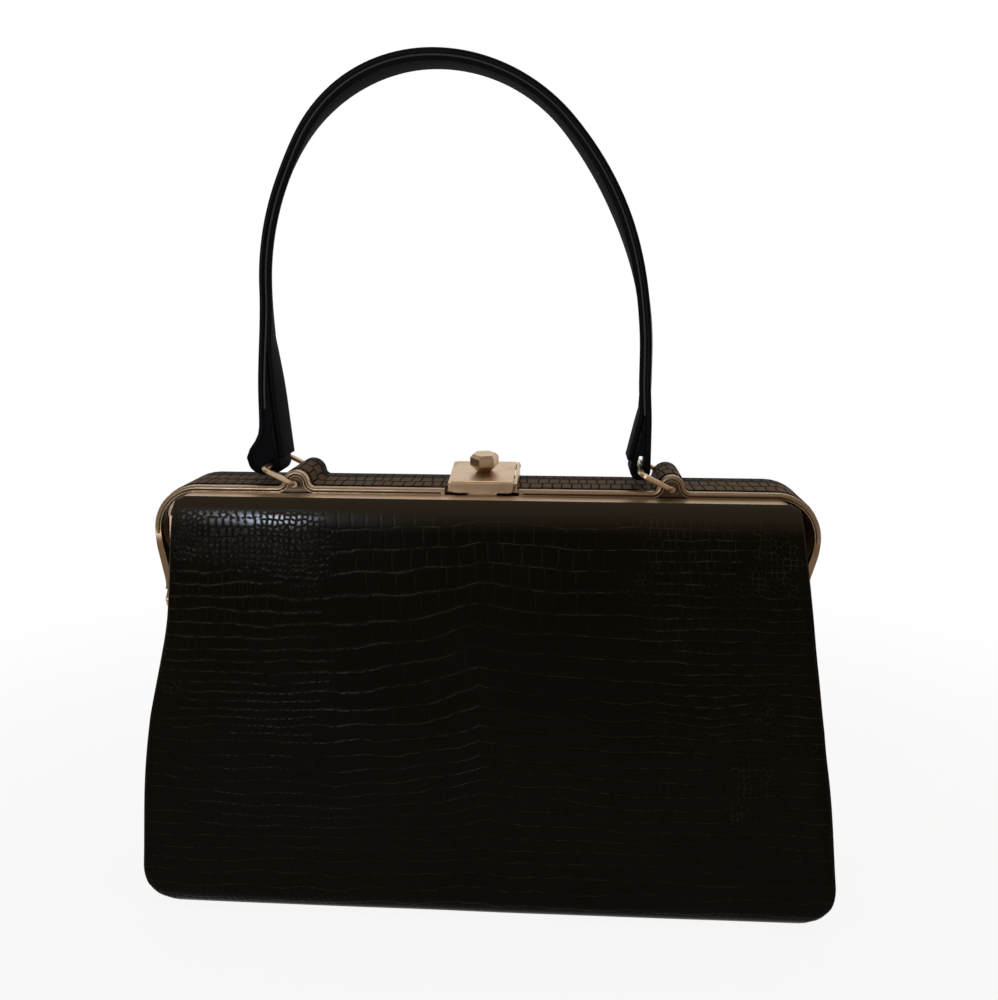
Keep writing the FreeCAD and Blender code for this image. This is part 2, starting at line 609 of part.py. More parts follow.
def make_hinge_rivets():
    """Rivets through both arms, with a flat head inside and one that tapers outside."""
    inner = FRONT_ARM_X - SHEET / 2
    grip = REAR_ARM_X + SHEET / 2 - inner
    outline = [(0, -RIVET_HEAD), (RIVET_HEAD_RADIUS, -RIVET_HEAD), (RIVET_HEAD_RADIUS, 0),
               (RIVET_RADIUS, 0), (RIVET_RADIUS, grip), (RIVET_HEAD_RADIUS, grip),
               (RIVET_RADIUS, grip + RIVET_HEAD), (0, grip + RIVET_HEAD)]
    return both_sides(turned(outline, Vector(inner, HINGE_Y, HINGE_Z), Vector(1, 0, 0)))


def make_hinge_washers():
    start = FRONT_ARM_X + SHEET / 2
    disc = rod_x(WASHER_RADIUS, start, start + WASHER, HINGE_Y, HINGE_Z)
    return both_sides(disc.cut(hinge_holes(RUNNING_FIT)))


def make_gusset_rivets():
    """Domed pins on the outer faces of the front arms."""
    height = LEDGE_Z - GUSSET_RIVET_DROP
    foot = Vector(FRONT_ARM_X + SHEET / 2, GUSSET_RIVET_SETBACK - panel_y(height, LEATHER), height)
    outline = [(radius_share * GUSSET_RIVET_RADIUS, height_share * GUSSET_RIVET_HEIGHT)
               for radius_share, height_share in GUSSET_RIVET_DOME_SHARES]
    return both_sides(turned([(0, 0)] + outline, foot, Vector(1, 0, 0)))


# Ring tubes and rings
def make_ring_tube(side):
    bore = rod_y(AXLE_RADIUS + RUNNING_FIT, RAIL_FRONT_Y, BAND_BACK_Y, side * TUBE_X, TUBE_Z)
    return rod_y(TUBE_RADIUS, RAIL_FRONT_Y, BAND_BACK_Y, side * TUBE_X, TUBE_Z).cut(bore)


def make_ring(side):
    """A flat-bar ring with a round axle for its tube, drawn upright and then leaned to the left."""
    x = side * TUBE_X
    half_bar = RING_BAR / 2
    x_range = (x - RING_THICKNESS / 2, x + RING_THICKNESS / 2)
    top_z = TUBE_Z + RING_HEIGHT
    middle = [(RING_FRONT_Y, TUBE_Z), (RING_BACK_Y, TUBE_Z), (RING_BACK_Y, top_z), (RING_FRONT_Y, top_z)]
    outer = side_prism(inset_points(middle, -half_bar), [RING_BEND + half_bar] * len(middle), *x_range)
    inner = side_prism(inset_points(middle, half_bar), [RING_BEND - half_bar] * len(middle), *x_range)
    bar = outer.cut(inner)
    rims = [edge for edge in bar.Edges if edge.BoundBox.XLength < RING_CHAMFER]
    bar = bar.makeChamfer(RING_CHAMFER, rims)
    axle_length = (RING_FRONT_Y + RING_BEND, RING_BACK_Y - RING_BEND)
    axle_run = block(EVERYWHERE, axle_length, (BELOW, TUBE_Z + RING_BAR))
    ring = bar.cut(axle_run).fuse(rod_y(AXLE_RADIUS, RING_FRONT_Y, RING_BACK_Y, x, TUBE_Z))
    ring.rotate(Vector(x, 0, TUBE_Z), Vector(0, 1, 0), RING_TILT - 90)
    return one_solid(ring)


# Clasp
def cheek_back():
    return PIN_Y + PIN_RADIUS + KNUCKLE_WALL


def make_clasp_base():
    """Floor on the band, with two side cheeks that slope up to the back and carry the pin."""
    half_x = CHEEK_X + CHEEK
    floor = block((-half_x, half_x), (NOTCH_BACK_Y, FLOOR_BACK_Y), (BAND_TOP_Z, FLOOR_TOP_Z))
    front = RAIL_BACK_Y + CLASP_SIDE_GAP
    outline = [(front, BAND_TOP_Z), (cheek_back(), BAND_TOP_Z), (cheek_back(), PIN_Z + KNUCKLE_RADIUS),
               (front, BAND_TOP_Z + CHEEK_FRONT_HEIGHT)]
    cheek = side_prism(outline, [0, 0, KNUCKLE_WALL, 0], CHEEK_X, half_x)
    base = floor.fuse(cheek).fuse(mirrored(cheek))
    return one_solid(base.cut(rod_x(PIN_RADIUS + PIN_FIT, *EVERYWHERE, PIN_Y, PIN_Z)))


def make_clasp_hinge_pin():
    end = CHEEK_X + CHEEK + PIN_END
    return rod_x(PIN_RADIUS, -end, end, PIN_Y, PIN_Z)


def make_clasp_spring():
    """Leaf spring: a flat foot on the floor and a raised end against the knuckle."""
    back = FLOOR_BACK_Y - CLASP_FLOOR_GAP
    end = PIN_Y - KNUCKLE_RADIUS - SPRING_GAP
    outline = [(back - SPRING_FOOT, FLOOR_TOP_Z), (back, FLOOR_TOP_Z), (end, FLOOR_TOP_Z + SPRING_RISE),
               (end, FLOOR_TOP_Z + SPRING_RISE + SPRING_THICKNESS), (back, FLOOR_TOP_Z + SPRING_THICKNESS),
               (back - SPRING_FOOT, FLOOR_TOP_Z + SPRING_THICKNESS)]
    return side_prism(outline, [0] * len(outline), -SPRING_WIDTH / 2, SPRING_WIDTH / 2)


def on_slope(shape):
    """Turns a shape that was drawn on a level plate with the plate's slope, about its front edge."""
    sloped = shape.copy()
    sloped.rotate(Vector(0, RAIL_FRONT_Y, FLAP_TOP_Z), Vector(1, 0, 0), math.degrees(FLAP_SLOPE))
    return sloped


def plate_z(y, depth):
    """Height of the sloped plate at a depth below its top face."""
    return FLAP_TOP_Z + (y - RAIL_FRONT_Y) * math.tan(FLAP_SLOPE) - depth / math.cos(FLAP_SLOPE)


def make_clasp_flap():
    """Sloped plate with a turned-down lip at its front and a knuckle round the pin at its back."""
    half_x = CLASP_WIDTH / 2
    lip_z = FLAP_TOP_Z - LIP_HEIGHT
    outline = [(RAIL_FRONT_Y, lip_z), (LIP_BACK_Y, lip_z), (LIP_BACK_Y, plate_z(LIP_BACK_Y, FLAP_PLATE)),
               (PIN_Y, plate_z(PIN_Y, FLAP_PLATE)), (PIN_Y, plate_z(PIN_Y, 0)), (RAIL_FRONT_Y, FLAP_TOP_Z)]
    flap = side_prism(outline, [0, 0, 0, 0, 0, FLAP_EDGE], -half_x, half_x)
    flap = flap.fuse(rod_x(KNUCKLE_RADIUS, -half_x, half_x, PIN_Y, PIN_Z))
    face = [(-half_x, lip_z), (half_x, lip_z), (half_x, ABOVE), (-half_x, ABOVE)]
    flap = flap.common(front_prism(face, [LIP_CORNER, LIP_CORNER, 0, 0], *ALL_DEPTH))
    flap = flap.cut(rod_x(PIN_RADIUS + RUNNING_FIT, *EVERYWHERE, PIN_Y, PIN_Z))
    return one_solid(flap.cut(on_slope(shank_hole())))


def shank_hole():
    return rod_z(KNOB_SHANK_RADIUS + PIN_FIT, FLAP_UNDER_Z - OVERRUN, FLAP_TOP_Z + OVERRUN, 0, KNOB_Y)


def knob_section(radius, z):
    """One six-sided ring of the knob."""
    points = []
    for index in range(KNOB_SIDES):
        angle = math.radians(-90 - KNOB_TURN + index * 360 / KNOB_SIDES)
        points.append(Vector(radius * math.cos(angle), KNOB_Y + radius * math.sin(angle), z))
    return Part.makePolygon(points + points[:1])


def make_clasp_knob():
    """Six-sided knob: a taper from the neck, an upright girdle, a low crown, and a riveted shank."""
    girdle_z = FLAP_TOP_Z + KNOB_TAPER_HEIGHT
    crown_z = girdle_z + KNOB_GIRDLE_HEIGHT
    sections = [knob_section(KNOB_NECK_RADIUS, FLAP_TOP_Z), knob_section(KNOB_RADIUS, girdle_z),
                knob_section(KNOB_RADIUS, crown_z),
                knob_section(KNOB_RADIUS * KNOB_CROWN_SHARE, crown_z + KNOB_CROWN_HEIGHT)]
    head = Part.makeLoft(sections, True, True)
    shank = rod_z(KNOB_SHANK_RADIUS, FLAP_UNDER_Z - KNOB_WASHER, FLAP_TOP_Z, 0, KNOB_Y)
    return on_slope(one_solid(head.fuse(shank)))


def make_knob_washer():
    disc = rod_z(KNOB_WASHER_RADIUS, FLAP_UNDER_Z - KNOB_WASHER, FLAP_UNDER_Z, 0, KNOB_Y)
    return on_slope(disc.cut(shank_hole()))


def make_clasp_catch():
    """Tongue that stands behind the lip on a brazed foot, its top sloped to lift the lip."""
    top_z = FLAP_UNDER_Z - CATCH_HEADROOM
    outline = [(CATCH_Y, LEDGE_Z), (CATCH_BACK_Y, LEDGE_Z), (CATCH_BACK_Y, LEDGE_Z + CATCH_THICKNESS),
               (CATCH_Y + CATCH_THICKNESS, LEDGE_Z + CATCH_THICKNESS),
               (CATCH_Y + CATCH_THICKNESS, top_z - CATCH_THICKNESS), (CATCH_Y, top_z)]
    return side_prism(outline, [0] * len(outline), -CATCH_WIDTH / 2, CATCH_WIDTH / 2)


# Handle
LOOP_INNER = RING_BAR / 2 + LOOP_CLEARANCE
LOOP_OUTER = LOOP_INNER + PLY
TAB_LEAN = math.asin((2 * LOOP_INNER - PLY_GAP) / TAB_LENGTH)
BAR_Z = TUBE_Z + RING_HEIGHT * math.sin(math.radians(RING_TILT))
HANDLE_FRONT_Y = HANDLE_Y - HANDLE_WIDTH / 2


def bar_x(side):
    return side * TUBE_X - RING_HEIGHT * math.cos(math.radians(RING_TILT))


def leg_x(side, depth):
    """A leg's face at a depth below the handle's outer face."""
    return bar_x(side) + side * (LOOP_OUTER - depth)


def leg_top(side):
    return HANDLE_TOP_Z - HANDLE_RISE * (RIGHT_ARCH_SHARE if side > 0 else LEFT_ARCH_SHARE)


def loop_point(side, radius, turn):
    """A point on the loop round a ring's bar, turned from the outer side through the bottom."""
    x = bar_x(side) + side * radius * math.cos(turn)
    return Vector(x, HANDLE_FRONT_Y, BAR_Z - radius * math.sin(turn))


def tab_point(side, radius, length):
    """A point up the tab from where the loop ends."""
    lean = Vector(side * math.sin(TAB_LEAN), 0, math.cos(TAB_LEAN))
    return loop_point(side, radius, math.pi + TAB_LEAN) + lean * length


def arch_edges(depth):
    """An arch of four tangent arcs from leg to leg, at a depth below the outer face."""
    top = Vector(-HANDLE_LEAN, HANDLE_FRONT_Y, HANDLE_TOP_Z)
    edges = []
    for side in (-1, 1):
        leg = Vector(leg_x(side, 0), HANDLE_FRONT_Y, leg_top(side))
        width = abs(leg.x - top.x)
        height = top.z - leg.z
        top_radius = width * (RIGHT_TOP_SHARE if side > 0 else LEFT_TOP_SHARE)
        side_radius = (width ** 2 + height ** 2 - 2 * height * top_radius) / (2 * (width - top_radius))
        top_middle = top - Vector(0, 0, top_radius)
        side_middle = leg - Vector(side * side_radius, 0, 0)
        to_joint = (top_middle - side_middle).normalize()
        joint = top_middle + to_joint * (top_radius - depth)
        out = Vector(side, 0, 0)
        up = Vector(0, 0, 1)
        lower = side_middle + (out + to_joint).normalize() * (side_radius - depth)
        upper = top_middle + (to_joint + up).normalize() * (top_radius - depth)
        edges.append(Part.Arc(leg - out * depth, lower, joint).toShape())
        edges.append(Part.Arc(joint, upper, top - up * depth).toShape())
    return edges


def strap_solid(edges, margin):
    """Closes the edges into a face and gives it the handle's width, less a margin on both sides."""
    face = Part.Face(Part.Wire(Part.__sortEdges__(edges)))
    solid = face.extrude(Vector(0, HANDLE_WIDTH - 2 * margin, 0))
    return solid.translated(Vector(0, margin, 0))


def chain(points):
    return [Part.makeLine(start, end) for start, end in zip(points, points[1:])]


def make_handle_strap():
    """Outer ply: both ends turn round the rings' bars and come back up as tabs."""
    edges = arch_edges(0) + arch_edges(PLY)
    full_turn = math.pi + TAB_LEAN
    for side in (-1, 1):
        for radius, depth in ((LOOP_OUTER, 0), (LOOP_INNER, PLY)):
            start, middle, end = [loop_point(side, radius, turn) for turn in (0, full_turn / 2, full_turn)]
            leg = Vector(leg_x(side, depth), HANDLE_FRONT_Y, leg_top(side))
            edges += chain([leg, start]) + [Part.Arc(start, middle, end).toShape()]
            edges += chain([end, tab_point(side, radius, TAB_LENGTH)])
        edges += chain([tab_point(side, LOOP_OUTER, TAB_LENGTH), tab_point(side, LOOP_INNER, TAB_LENGTH)])
    return one_solid(strap_solid(edges, 0))


def flare_start(side, depth, radius):
    """Where the inner ply leaves a straight leg to lie over the tab."""
    length = (LOOP_OUTER - depth + radius * math.cos(TAB_LEAN)) / math.sin(TAB_LEAN)
    return tab_point(side, radius, length)


def make_handle_lining():
    """Inner ply: follows the arch and flares over the tabs at its ends."""
    edges = []
    for thickness in (0, INNER_PLY):
        depth = PLY + CORE_SPACE + thickness
        radius = LOOP_OUTER + PLY_GAP + thickness
        edges += arch_edges(depth)
        for side in (-1, 1):
            leg = Vector(leg_x(side, depth), HANDLE_FRONT_Y, leg_top(side))
            edges += chain([leg, flare_start(side, depth, radius), tab_point(side, radius, TAB_SHOWN)])
    for side in (-1, 1):
        edges += chain([tab_point(side, LOOP_OUTER + PLY_GAP, TAB_SHOWN),
                        tab_point(side, LOOP_OUTER + PLY_GAP + INNER_PLY, TAB_SHOWN)])
    return one_solid(strap_solid(edges, 0))


def make_handle_core():
    """Filler between the plies, which ends where they part."""
    depths = (PLY + PLY_GAP, PLY + CORE_SPACE - PLY_GAP)
    edges = arch_edges(depths[0]) + arch_edges(depths[1])
    for side in (-1, 1):
        end_z = flare_start(side, PLY + CORE_SPACE, LOOP_OUTER + PLY_GAP).z
        outer, inner = [Vector(leg_x(side, depth), HANDLE_FRONT_Y, leg_top(side)) for depth in depths]
        edges += chain([outer, Vector(outer.x, outer.y, end_z), Vector(inner.x, inner.y, end_z), inner])
    return one_solid(strap_solid(edges, CORE_MARGIN))


# Every piece by its name
def make_parts():
    gusset = make_gusset()
    return {
        "rear_frame": make_rear_frame(),
        "frame_cover": make_frame_cover(),
        "rear_panel": make_rear_panel(),
        "front_panel_lower": make_front_panel_lower(),
        "gusset_left": mirrored(gusset),
        "gusset_right": gusset,
        "bottom_panel": make_bottom_panel(),
        "bottom_board": make_bottom_board(),
        "lining": make_lining(),
        "rear_retainer": make_rear_retainer(),
        "clasp_base": make_clasp_base(),
        "clasp_hinge_pin": make_clasp_hinge_pin(),
        "clasp_spring": make_clasp_spring(),
        "ring_tube_left": make_ring_tube(-1),
        "ring_tube_right": make_ring_tube(1),
        "hinge_rivets": make_hinge_rivets(),
        "hinge_washers": make_hinge_washers(),
        "front_frame": make_front_frame(),
        "front_panel_upper": make_front_panel_upper(),
        "front_lining": make_front_lining(),
        "front_retainer": make_front_retainer(),
        "clasp_catch": make_clasp_catch(),
        "gusset_rivets": make_gusset_rivets(),
        "clasp_flap": make_clasp_flap(),
        "clasp_knob": make_clasp_knob(),
        "knob_washer": make_knob_washer(),
        "ring_left": make_ring(-1),
        "ring_right": make_ring(1),
        "handle_strap": make_handle_strap(),
        "handle_lining": make_handle_lining(),
        "handle_core": make_handle_core(),
    }


os.makedirs("parts", exist_ok=True)
for name, shape in make_parts().items():
    shape.exportStep("parts/%s.step" % name)
    print(name, len(shape.Solids), round(shape.Volume, 2), shape.isValid())
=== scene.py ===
"""A frame handbag in crocodile-embossed leather, dressed over its packed construction model."""

import math

import bpy
import numpy as np
from bpy.props import FloatProperty, FloatVectorProperty, PointerProperty
from mathutils import Matrix, Vector


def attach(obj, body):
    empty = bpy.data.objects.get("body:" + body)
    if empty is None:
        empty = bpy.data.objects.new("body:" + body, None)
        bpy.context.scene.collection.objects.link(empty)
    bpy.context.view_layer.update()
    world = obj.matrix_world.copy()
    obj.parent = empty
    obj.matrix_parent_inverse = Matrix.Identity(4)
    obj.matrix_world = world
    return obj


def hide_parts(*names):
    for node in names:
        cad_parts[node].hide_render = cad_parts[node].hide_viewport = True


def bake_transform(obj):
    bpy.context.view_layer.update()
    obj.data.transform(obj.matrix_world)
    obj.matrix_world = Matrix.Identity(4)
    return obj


bl_info = {
    "name": "Frame handbag",
    "version": (1, 0, 0),
    "blender": (4, 5, 0),
    "location": "3D View > Sidebar > Handbag",
    "description": "Leather, linings, handle and finishes of a frame handbag",
    "category": "Object",
}

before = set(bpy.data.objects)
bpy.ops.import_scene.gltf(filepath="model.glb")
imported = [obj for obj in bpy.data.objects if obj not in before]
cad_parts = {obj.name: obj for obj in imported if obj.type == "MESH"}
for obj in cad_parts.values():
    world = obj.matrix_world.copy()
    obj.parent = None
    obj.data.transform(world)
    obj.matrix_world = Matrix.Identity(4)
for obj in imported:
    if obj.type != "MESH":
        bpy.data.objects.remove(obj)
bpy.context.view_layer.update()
MM = 0.001

# Sizes of the construction model that the leather follows
FRONT_TOP = 177.6 * MM
HALF_DEPTH = 40 * MM
PANEL_LEAN = 16.5 / 177
HALF_BASE = 148 * MM
SIDE_LEAN = 8.1 / 84.075
WAIST_HEIGHT = 84.075 * MM
HALF_WAIST = 139.9 * MM
TOP_SLOPE = 13.4 / 92.925
CORNER_RADIUS = 19 * MM
CORNER_REACH = 20.9 * MM
EDGE_RADIUS = 10 * MM
FLOOR_Y = 29.0 * MM
TOP_CORNER = 4 * MM
REAR_TOP = 177.7 * MM
REAR_SHOULDER = 138.2 * MM
REAR_CORNER = 17.2 * MM
HINGE_Y = -22.095 * MM
HINGE_Z = 133 * MM
LOBE_RADIUS = 3.5 * MM
TUCKED_X = 126.7 * MM
GUSSET_TOP = 173 * MM

# Heights between which the soft body changes
LEAN_END = 112 * MM
PINCH_HEIGHT = 128 * MM
PINCH_SPREAD = 30 * MM
BELLY_HEIGHT = 58 * MM
BELLY_SPREAD = 32 * MM
SHOULDER_RISE = (70 * MM, 115 * MM)
REAR_SHOULDER_RISE = (124 * MM, 157 * MM)
SEAM_RISE = (112 * MM, 140 * MM)
SEAM_AT_ARMS = 1.8 * MM
TUCK_RISE = (106 * MM, 128 * MM)
PLEAT_RISE = (15 * MM, 110 * MM)
CLOSED_RISE = (100 * MM, 130 * MM)
ROLL_DEPTH = 14 * MM
PUFF_FADE = (20 * MM, 85 * MM)
ON_FLOOR = 0.02 * MM

# Rear frame's line
BAND_Z = 178.25 * MM
FRAME_X = 140 * MM
FRAME_CORNER = 17.75 * MM
HALF_SHEET = 1.25 * MM
TUBE_X = 78.4 * MM
TUBE_Z = 181 * MM
TUBE_RADIUS = 2.7 * MM
ARCH_RADIUS = 4.25 * MM
ARCH_FILLET = 3.75 * MM
ARM_X = 130.7 * MM
ARM_BEND_RADIUS = 10 * MM
ARM_FOOT_Z = 137.5 * MM
ARM_FRONT_TOP = 157 * MM
ARM_BACK_TOP = 155 * MM
RAIL_FRONT_Y = -10.5 * MM
RAIL_BACK_Y = -7.5 * MM
RAIL_HEIGHT = 2.5 * MM
RAIL_GAP_X = 15.5 * MM
BEAD_END_Z = 158 * MM
SADDLE_THICKNESS = 0.8 * MM
BAND_BACK_Y = 23.5 * MM
CLASP_OPENING_X = 14.8 * MM
CLASP_OPENING_Y = 22.2 * MM
COVER_OUTSIDE = 1.65 * MM
COVER_THICKNESS = 1.1 * MM

# Handle
BAR_X = {-1: -90.983 * MM, 1: 65.817 * MM}
BAR_Z = 187.137 * MM
LOOP_INNER = 1.9 * MM
PLY = 2.4 * MM
INNER_PLY = 1.8 * MM
CORE_SPACE = 0.8 * MM
HANDLE_Y = 6.5 * MM
HANDLE_WIDTH = 20 * MM
ARCH_TOP = (-21 * MM, 355 * MM)
ARCH_HEIGHT = {-1: 93.0 * MM, 1: 119.97 * MM}
TOP_RADIUS_SHARE = {-1: 0.9, 1: 0.82}
TAB_LENGTH = 16 * MM
TAB_SHOWN = 3 * MM
TAB_LEAN = {-1: math.radians(6), 1: math.radians(13.2)}
FILLER_LOW = {-1: -1.2 * MM, 1: 6 * MM}

# Lining
CLOTH = 0.5 * MM
THREAD_PITCH = 0.7 * MM

# Where the emboss changes, in the surface's own measures
UPPER_RISE = (110 * MM, 165 * MM)
FLAT_RISE = (160 * MM, 172 * MM)
CORNER_RISE = (150 * MM, 165 * MM)
CORNER_LEFT = (-136 * MM, -112 * MM)
CORNER_RIGHT = (-75 * MM, -60 * MM)
SEAM_START = (141 * MM, 147 * MM)
BELLY_HALF_WIDTH = 56 * MM
FLANK_FADE = 14 * MM
PLAIN_FROM = 177.5 * MM
NEVER_PLAIN = 1.0
FRONT_POLISH = 0.45
ROW_SHIFT = 7.31

# Grids: points across and up
PANEL_GRID = (132, 92)
GUSSET_GRID = (44, 80)
BOTTOM_GRID = (60, 16)
POUCH_GRID = (120, 60)
FRONT_LINING_GRID = (80, 24)
SADDLE_GRID = (64, 3)
BEAD_SIDES = 16


# Settings
def length_setting(name, description, default):
    return FloatProperty(name=name, description=description, default=default, unit="LENGTH")


def angle_setting(name, description, degrees):
    return FloatProperty(name=name, description=description, default=math.radians(degrees), subtype="ANGLE")


def power_setting(name, description, default):
    return FloatProperty(name=name, description=description, default=default, unit="POWER")


def colour_setting(name, description, default):
    return FloatVectorProperty(name=name, description=description, default=default, size=3, subtype="COLOR")


class LeatherShape(bpy.types.PropertyGroup):
    """Form of the leather body."""
    thickness: length_setting("Thickness", "Leather thickness", 1.4 * MM)
    sag: length_setting("Sag", "How far the front and back bulge", 2.5 * MM)
    puff: length_setting("Top puff", "Roll of the leather under the frame", 2.6 * MM)
    seam_roll: length_setting("Seam roll", "Radius of the turned side seams", 4 * MM)
    pleat: length_setting("Pleat", "Depth of the side pleats", 7 * MM)
    lean: length_setting("Lean", "How far the soft bottom stands to the right", 3 * MM)
    pinch: length_setting("Pinch", "How far the left side draws in below the hinge", 3.1 * MM)
    shoulder: length_setting("Shoulder", "How far the right side stands out high up", 2.2 * MM)
    belly: length_setting("Belly", "How far the sides stand out low down", 1.6 * MM)


class LeatherLook(bpy.types.PropertyGroup):
    """Colours and emboss of the leathers."""
    colour: colour_setting("Leather", "Colour of the scales", (0.0050, 0.0037, 0.0022))
    # The cover's brown is partly painted overhead light on the top of the black leather.
    cover: colour_setting("Frame cover", "Colour of the leather over the frame", (0.110, 0.070, 0.034))
    # Colour of the tan lines drawn along the creases.
    crease: colour_setting("Creases", "Colour worn into the creases", (0.040, 0.034, 0.022))
    # Painted sheen: the rolled top under the frame is painted lighter, standing in for the light that it
    # catches there.
    rolled: colour_setting("Rolled top", "Colour of the rolled edge under the frame", (0.040, 0.031, 0.019))
    strap: colour_setting("Strap", "Colour of the handle", (0.0032, 0.0030, 0.0036))
    strap_edge: colour_setting("Strap edge", "Colour of the core at the edges", (0.020, 0.018, 0.016))
    cover_row: length_setting("Cover row", "Depth of a row of scales over the frame", 11 * MM)
    cover_scale: length_setting("Cover scale", "Width of a scale over the frame", 4.2 * MM)
    row_height: length_setting("Row height", "Height of a row of large scales", 8.6 * MM)
    scale_width: length_setting("Scale width", "Width of a large scale", 6.6 * MM)
    flank_width: length_setting("Flank scale", "Width of a scale on the flanks", 3.2 * MM)
    round_scale: length_setting("Round scale", "Size of the flanks' round scales", 2.4 * MM)


class GoldLook(bpy.types.PropertyGroup):
    """Finish of the metal."""
    colour: colour_setting("Gold", "Colour of the metal", (0.54, 0.385, 0.24))
    # The dull gold, darkened, is also the painted shade under the rail's bead.
    dull: colour_setting("Dull gold", "Colour of the tarnished metal", (0.40, 0.265, 0.15))
    bare: colour_setting("Bare metal", "Colour inside the frame", (0.62, 0.44, 0.28))


class ClothLook(bpy.types.PropertyGroup):
    """Finish of the lining."""
    colour: colour_setting("Lining", "Colour of the lining", (0.16, 0.115, 0.075))


class StrapShape(bpy.types.PropertyGroup):
    """Form of the handle."""
    left_twist: angle_setting("Left twist", "Turn of the left leg", -14)
    right_twist: angle_setting("Right twist", "Turn of the right leg", -5)
    turn_back: angle_setting("Turn back", "Turn of the right leg back towards the arch", 10)
    edge: length_setting("Edge", "Rounding of the strap's edges", 0.9 * MM)
    bulge: length_setting("Bulge", "How far the left end stands off its ring", 6 * MM)


class StageLook(bpy.types.PropertyGroup):
    """Light and floor."""
    floor: colour_setting("Floor", "Colour of the floor", (0.86, 0.86, 0.86))
    room: colour_setting("Room", "Light from all round", (0.26, 0.21, 0.16))
    key: power_setting("Key light", "Power of the window light", 3)
    top: power_setting("Top light", "Power of the overhead light", 4.5)


GROUPS = {"leather_shape": LeatherShape, "leather_look": LeatherLook, "gold_look": GoldLook,
          "cloth_look": ClothLook, "strap_shape": StrapShape, "stage_look": StageLook}


# Shader arithmetic
class Value:
    """A node socket that takes part in sums."""

    def __init__(self, tree, socket=None):
        self.tree = tree
        self.socket = socket

    def node(self, kind, settings=(), inputs=(), output=0):
        """Adds a node: its settings first, then the values or links of its sockets."""
        node = self.tree.nodes.new(kind)
        for name, value in dict(settings).items():
            setattr(node, name, value)
        for key, value in dict(inputs).items():
            if isinstance(value, Value):
                self.tree.links.new(value.socket, node.inputs[key])
            else:
                node.inputs[key].default_value = value
        return Value(self.tree, node.outputs[output])

    def math(self, operation, *values):
        return self.node("ShaderNodeMath", {"operation": operation}, enumerate((self,) + values))

    def __add__(self, other):
        return self.math("ADD", other)

    def __mul__(self, other):
        return self.math("MULTIPLY", other)

    def __sub__(self, other):
        return self.math("SUBTRACT", other)

    def __rsub__(self, other):
        return (self * -1) + other

    def __truediv__(self, other):
        return self.math("DIVIDE", other)

    def step(self, low, high):
        """Rises smoothly from 0 at low to 1 at high."""
        return self.node("ShaderNodeMapRange", {"interpolation_type": "SMOOTHSTEP"},
                         {"Value": self, "From Min": low, "From Max": high})

    def mix(self, first, second):
        """A colour between two, by this value."""
        mixed = self.node("ShaderNodeMix", {"data_type": "RGBA"}, {0: self, 6: first, 7: second})
        return Value(self.tree, mixed.socket.node.outputs[2])

    def blend(self, first, second):
        """A number between two, by this value."""
        return first + (second - first) * self

    def place(self):
        """Where a point lies on its object."""
        return self.node("ShaderNodeTexCoord", {}, {}, "Object")

    def surface(self):
        """A point's measures on its piece's own surface, in metres."""
        return self.node("ShaderNodeUVMap", {"uv_map": "surface"})

    def moved(self):
        """This vector somewhere else, for a second noise unlike the first."""
        return self.node("ShaderNodeVectorMath", {"operation": "ADD"}, {0: self, 1: (0.37, 0.11, 0.0)})

    def noise(self, scale, detail=2.0):
        """Noise from 0 to 1 at this vector, in features per metre."""
        return self.node("ShaderNodeTexNoise", {}, {"Vector": self, "Scale": scale, "Detail": detail})

    def cell_edge(self, dimensions, randomness):
        """Distance to the next edge between cells of about size 1."""
        kind = {"voronoi_dimensions": dimensions, "feature": "DISTANCE_TO_EDGE"}
        where = "W" if dimensions == "1D" else "Vector"
        return self.node("ShaderNodeTexVoronoi", kind, {where: self, "Scale": 1.0, "Randomness": randomness})

    def parts(self):
        """The three parts of a vector."""
        split = self.node("ShaderNodeSeparateXYZ", {}, {0: self}).socket.node
        return [Value(self.tree, part) for part in split.outputs]

    def pair(self, other):
        return self.node("ShaderNodeCombineXYZ", {}, {0: self, 1: other})


def new_material(name):
    """A material with its shader and a value to start sums from."""
    material = bpy.data.materials.new(name)
    material.use_nodes = True
    return material, material.node_tree.nodes["Principled BSDF"], Value(material.node_tree)


def link(value, shader, name):
    value.tree.links.new(value.socket, shader.inputs[name])


def tint(colour, factor=1.0):
    """A colour made lighter or darker, with its alpha."""
    return tuple(part * factor for part in colour) + (1.0,)


def add_bump(shader, height, strength, distance):
    """Raises a surface in its shading by a height, where 1 is the distance."""
    settings = {"Strength": strength, "Distance": distance, "Height": height}
    link(height.node("ShaderNodeBump", {}, settings), shader, "Normal")


# Leathers
def scale_rows(across, rows, row_height, scale_width):
    """Distances to the row lines and to the upright lines of a field of scales, from the count of rows."""
    row = rows.math("FLOOR")
    share = rows - row
    to_row = share.math("MINIMUM", 1 - share) * row_height
    columns = (across / scale_width + row * ROW_SHIFT).cell_edge("1D", 0.65)
    return to_row, columns * scale_width


def row_drop(across, along):
    """How far a row of scales falls from the middle to the sides, more on the left and half way up."""
    half_way = along.step(20 * MM, 75 * MM) * (1 - along.step(*UPPER_RISE))
    left = half_way * (9 * MM) + 5 * MM
    right = half_way * (3 * MM) + 3 * MM
    reach = across.step(-1 * MM, 1 * MM).blend(left, right)
    return reach * (1 - (across.math("ABSOLUTE") / (-26 * MM)).math("EXPONENT"))


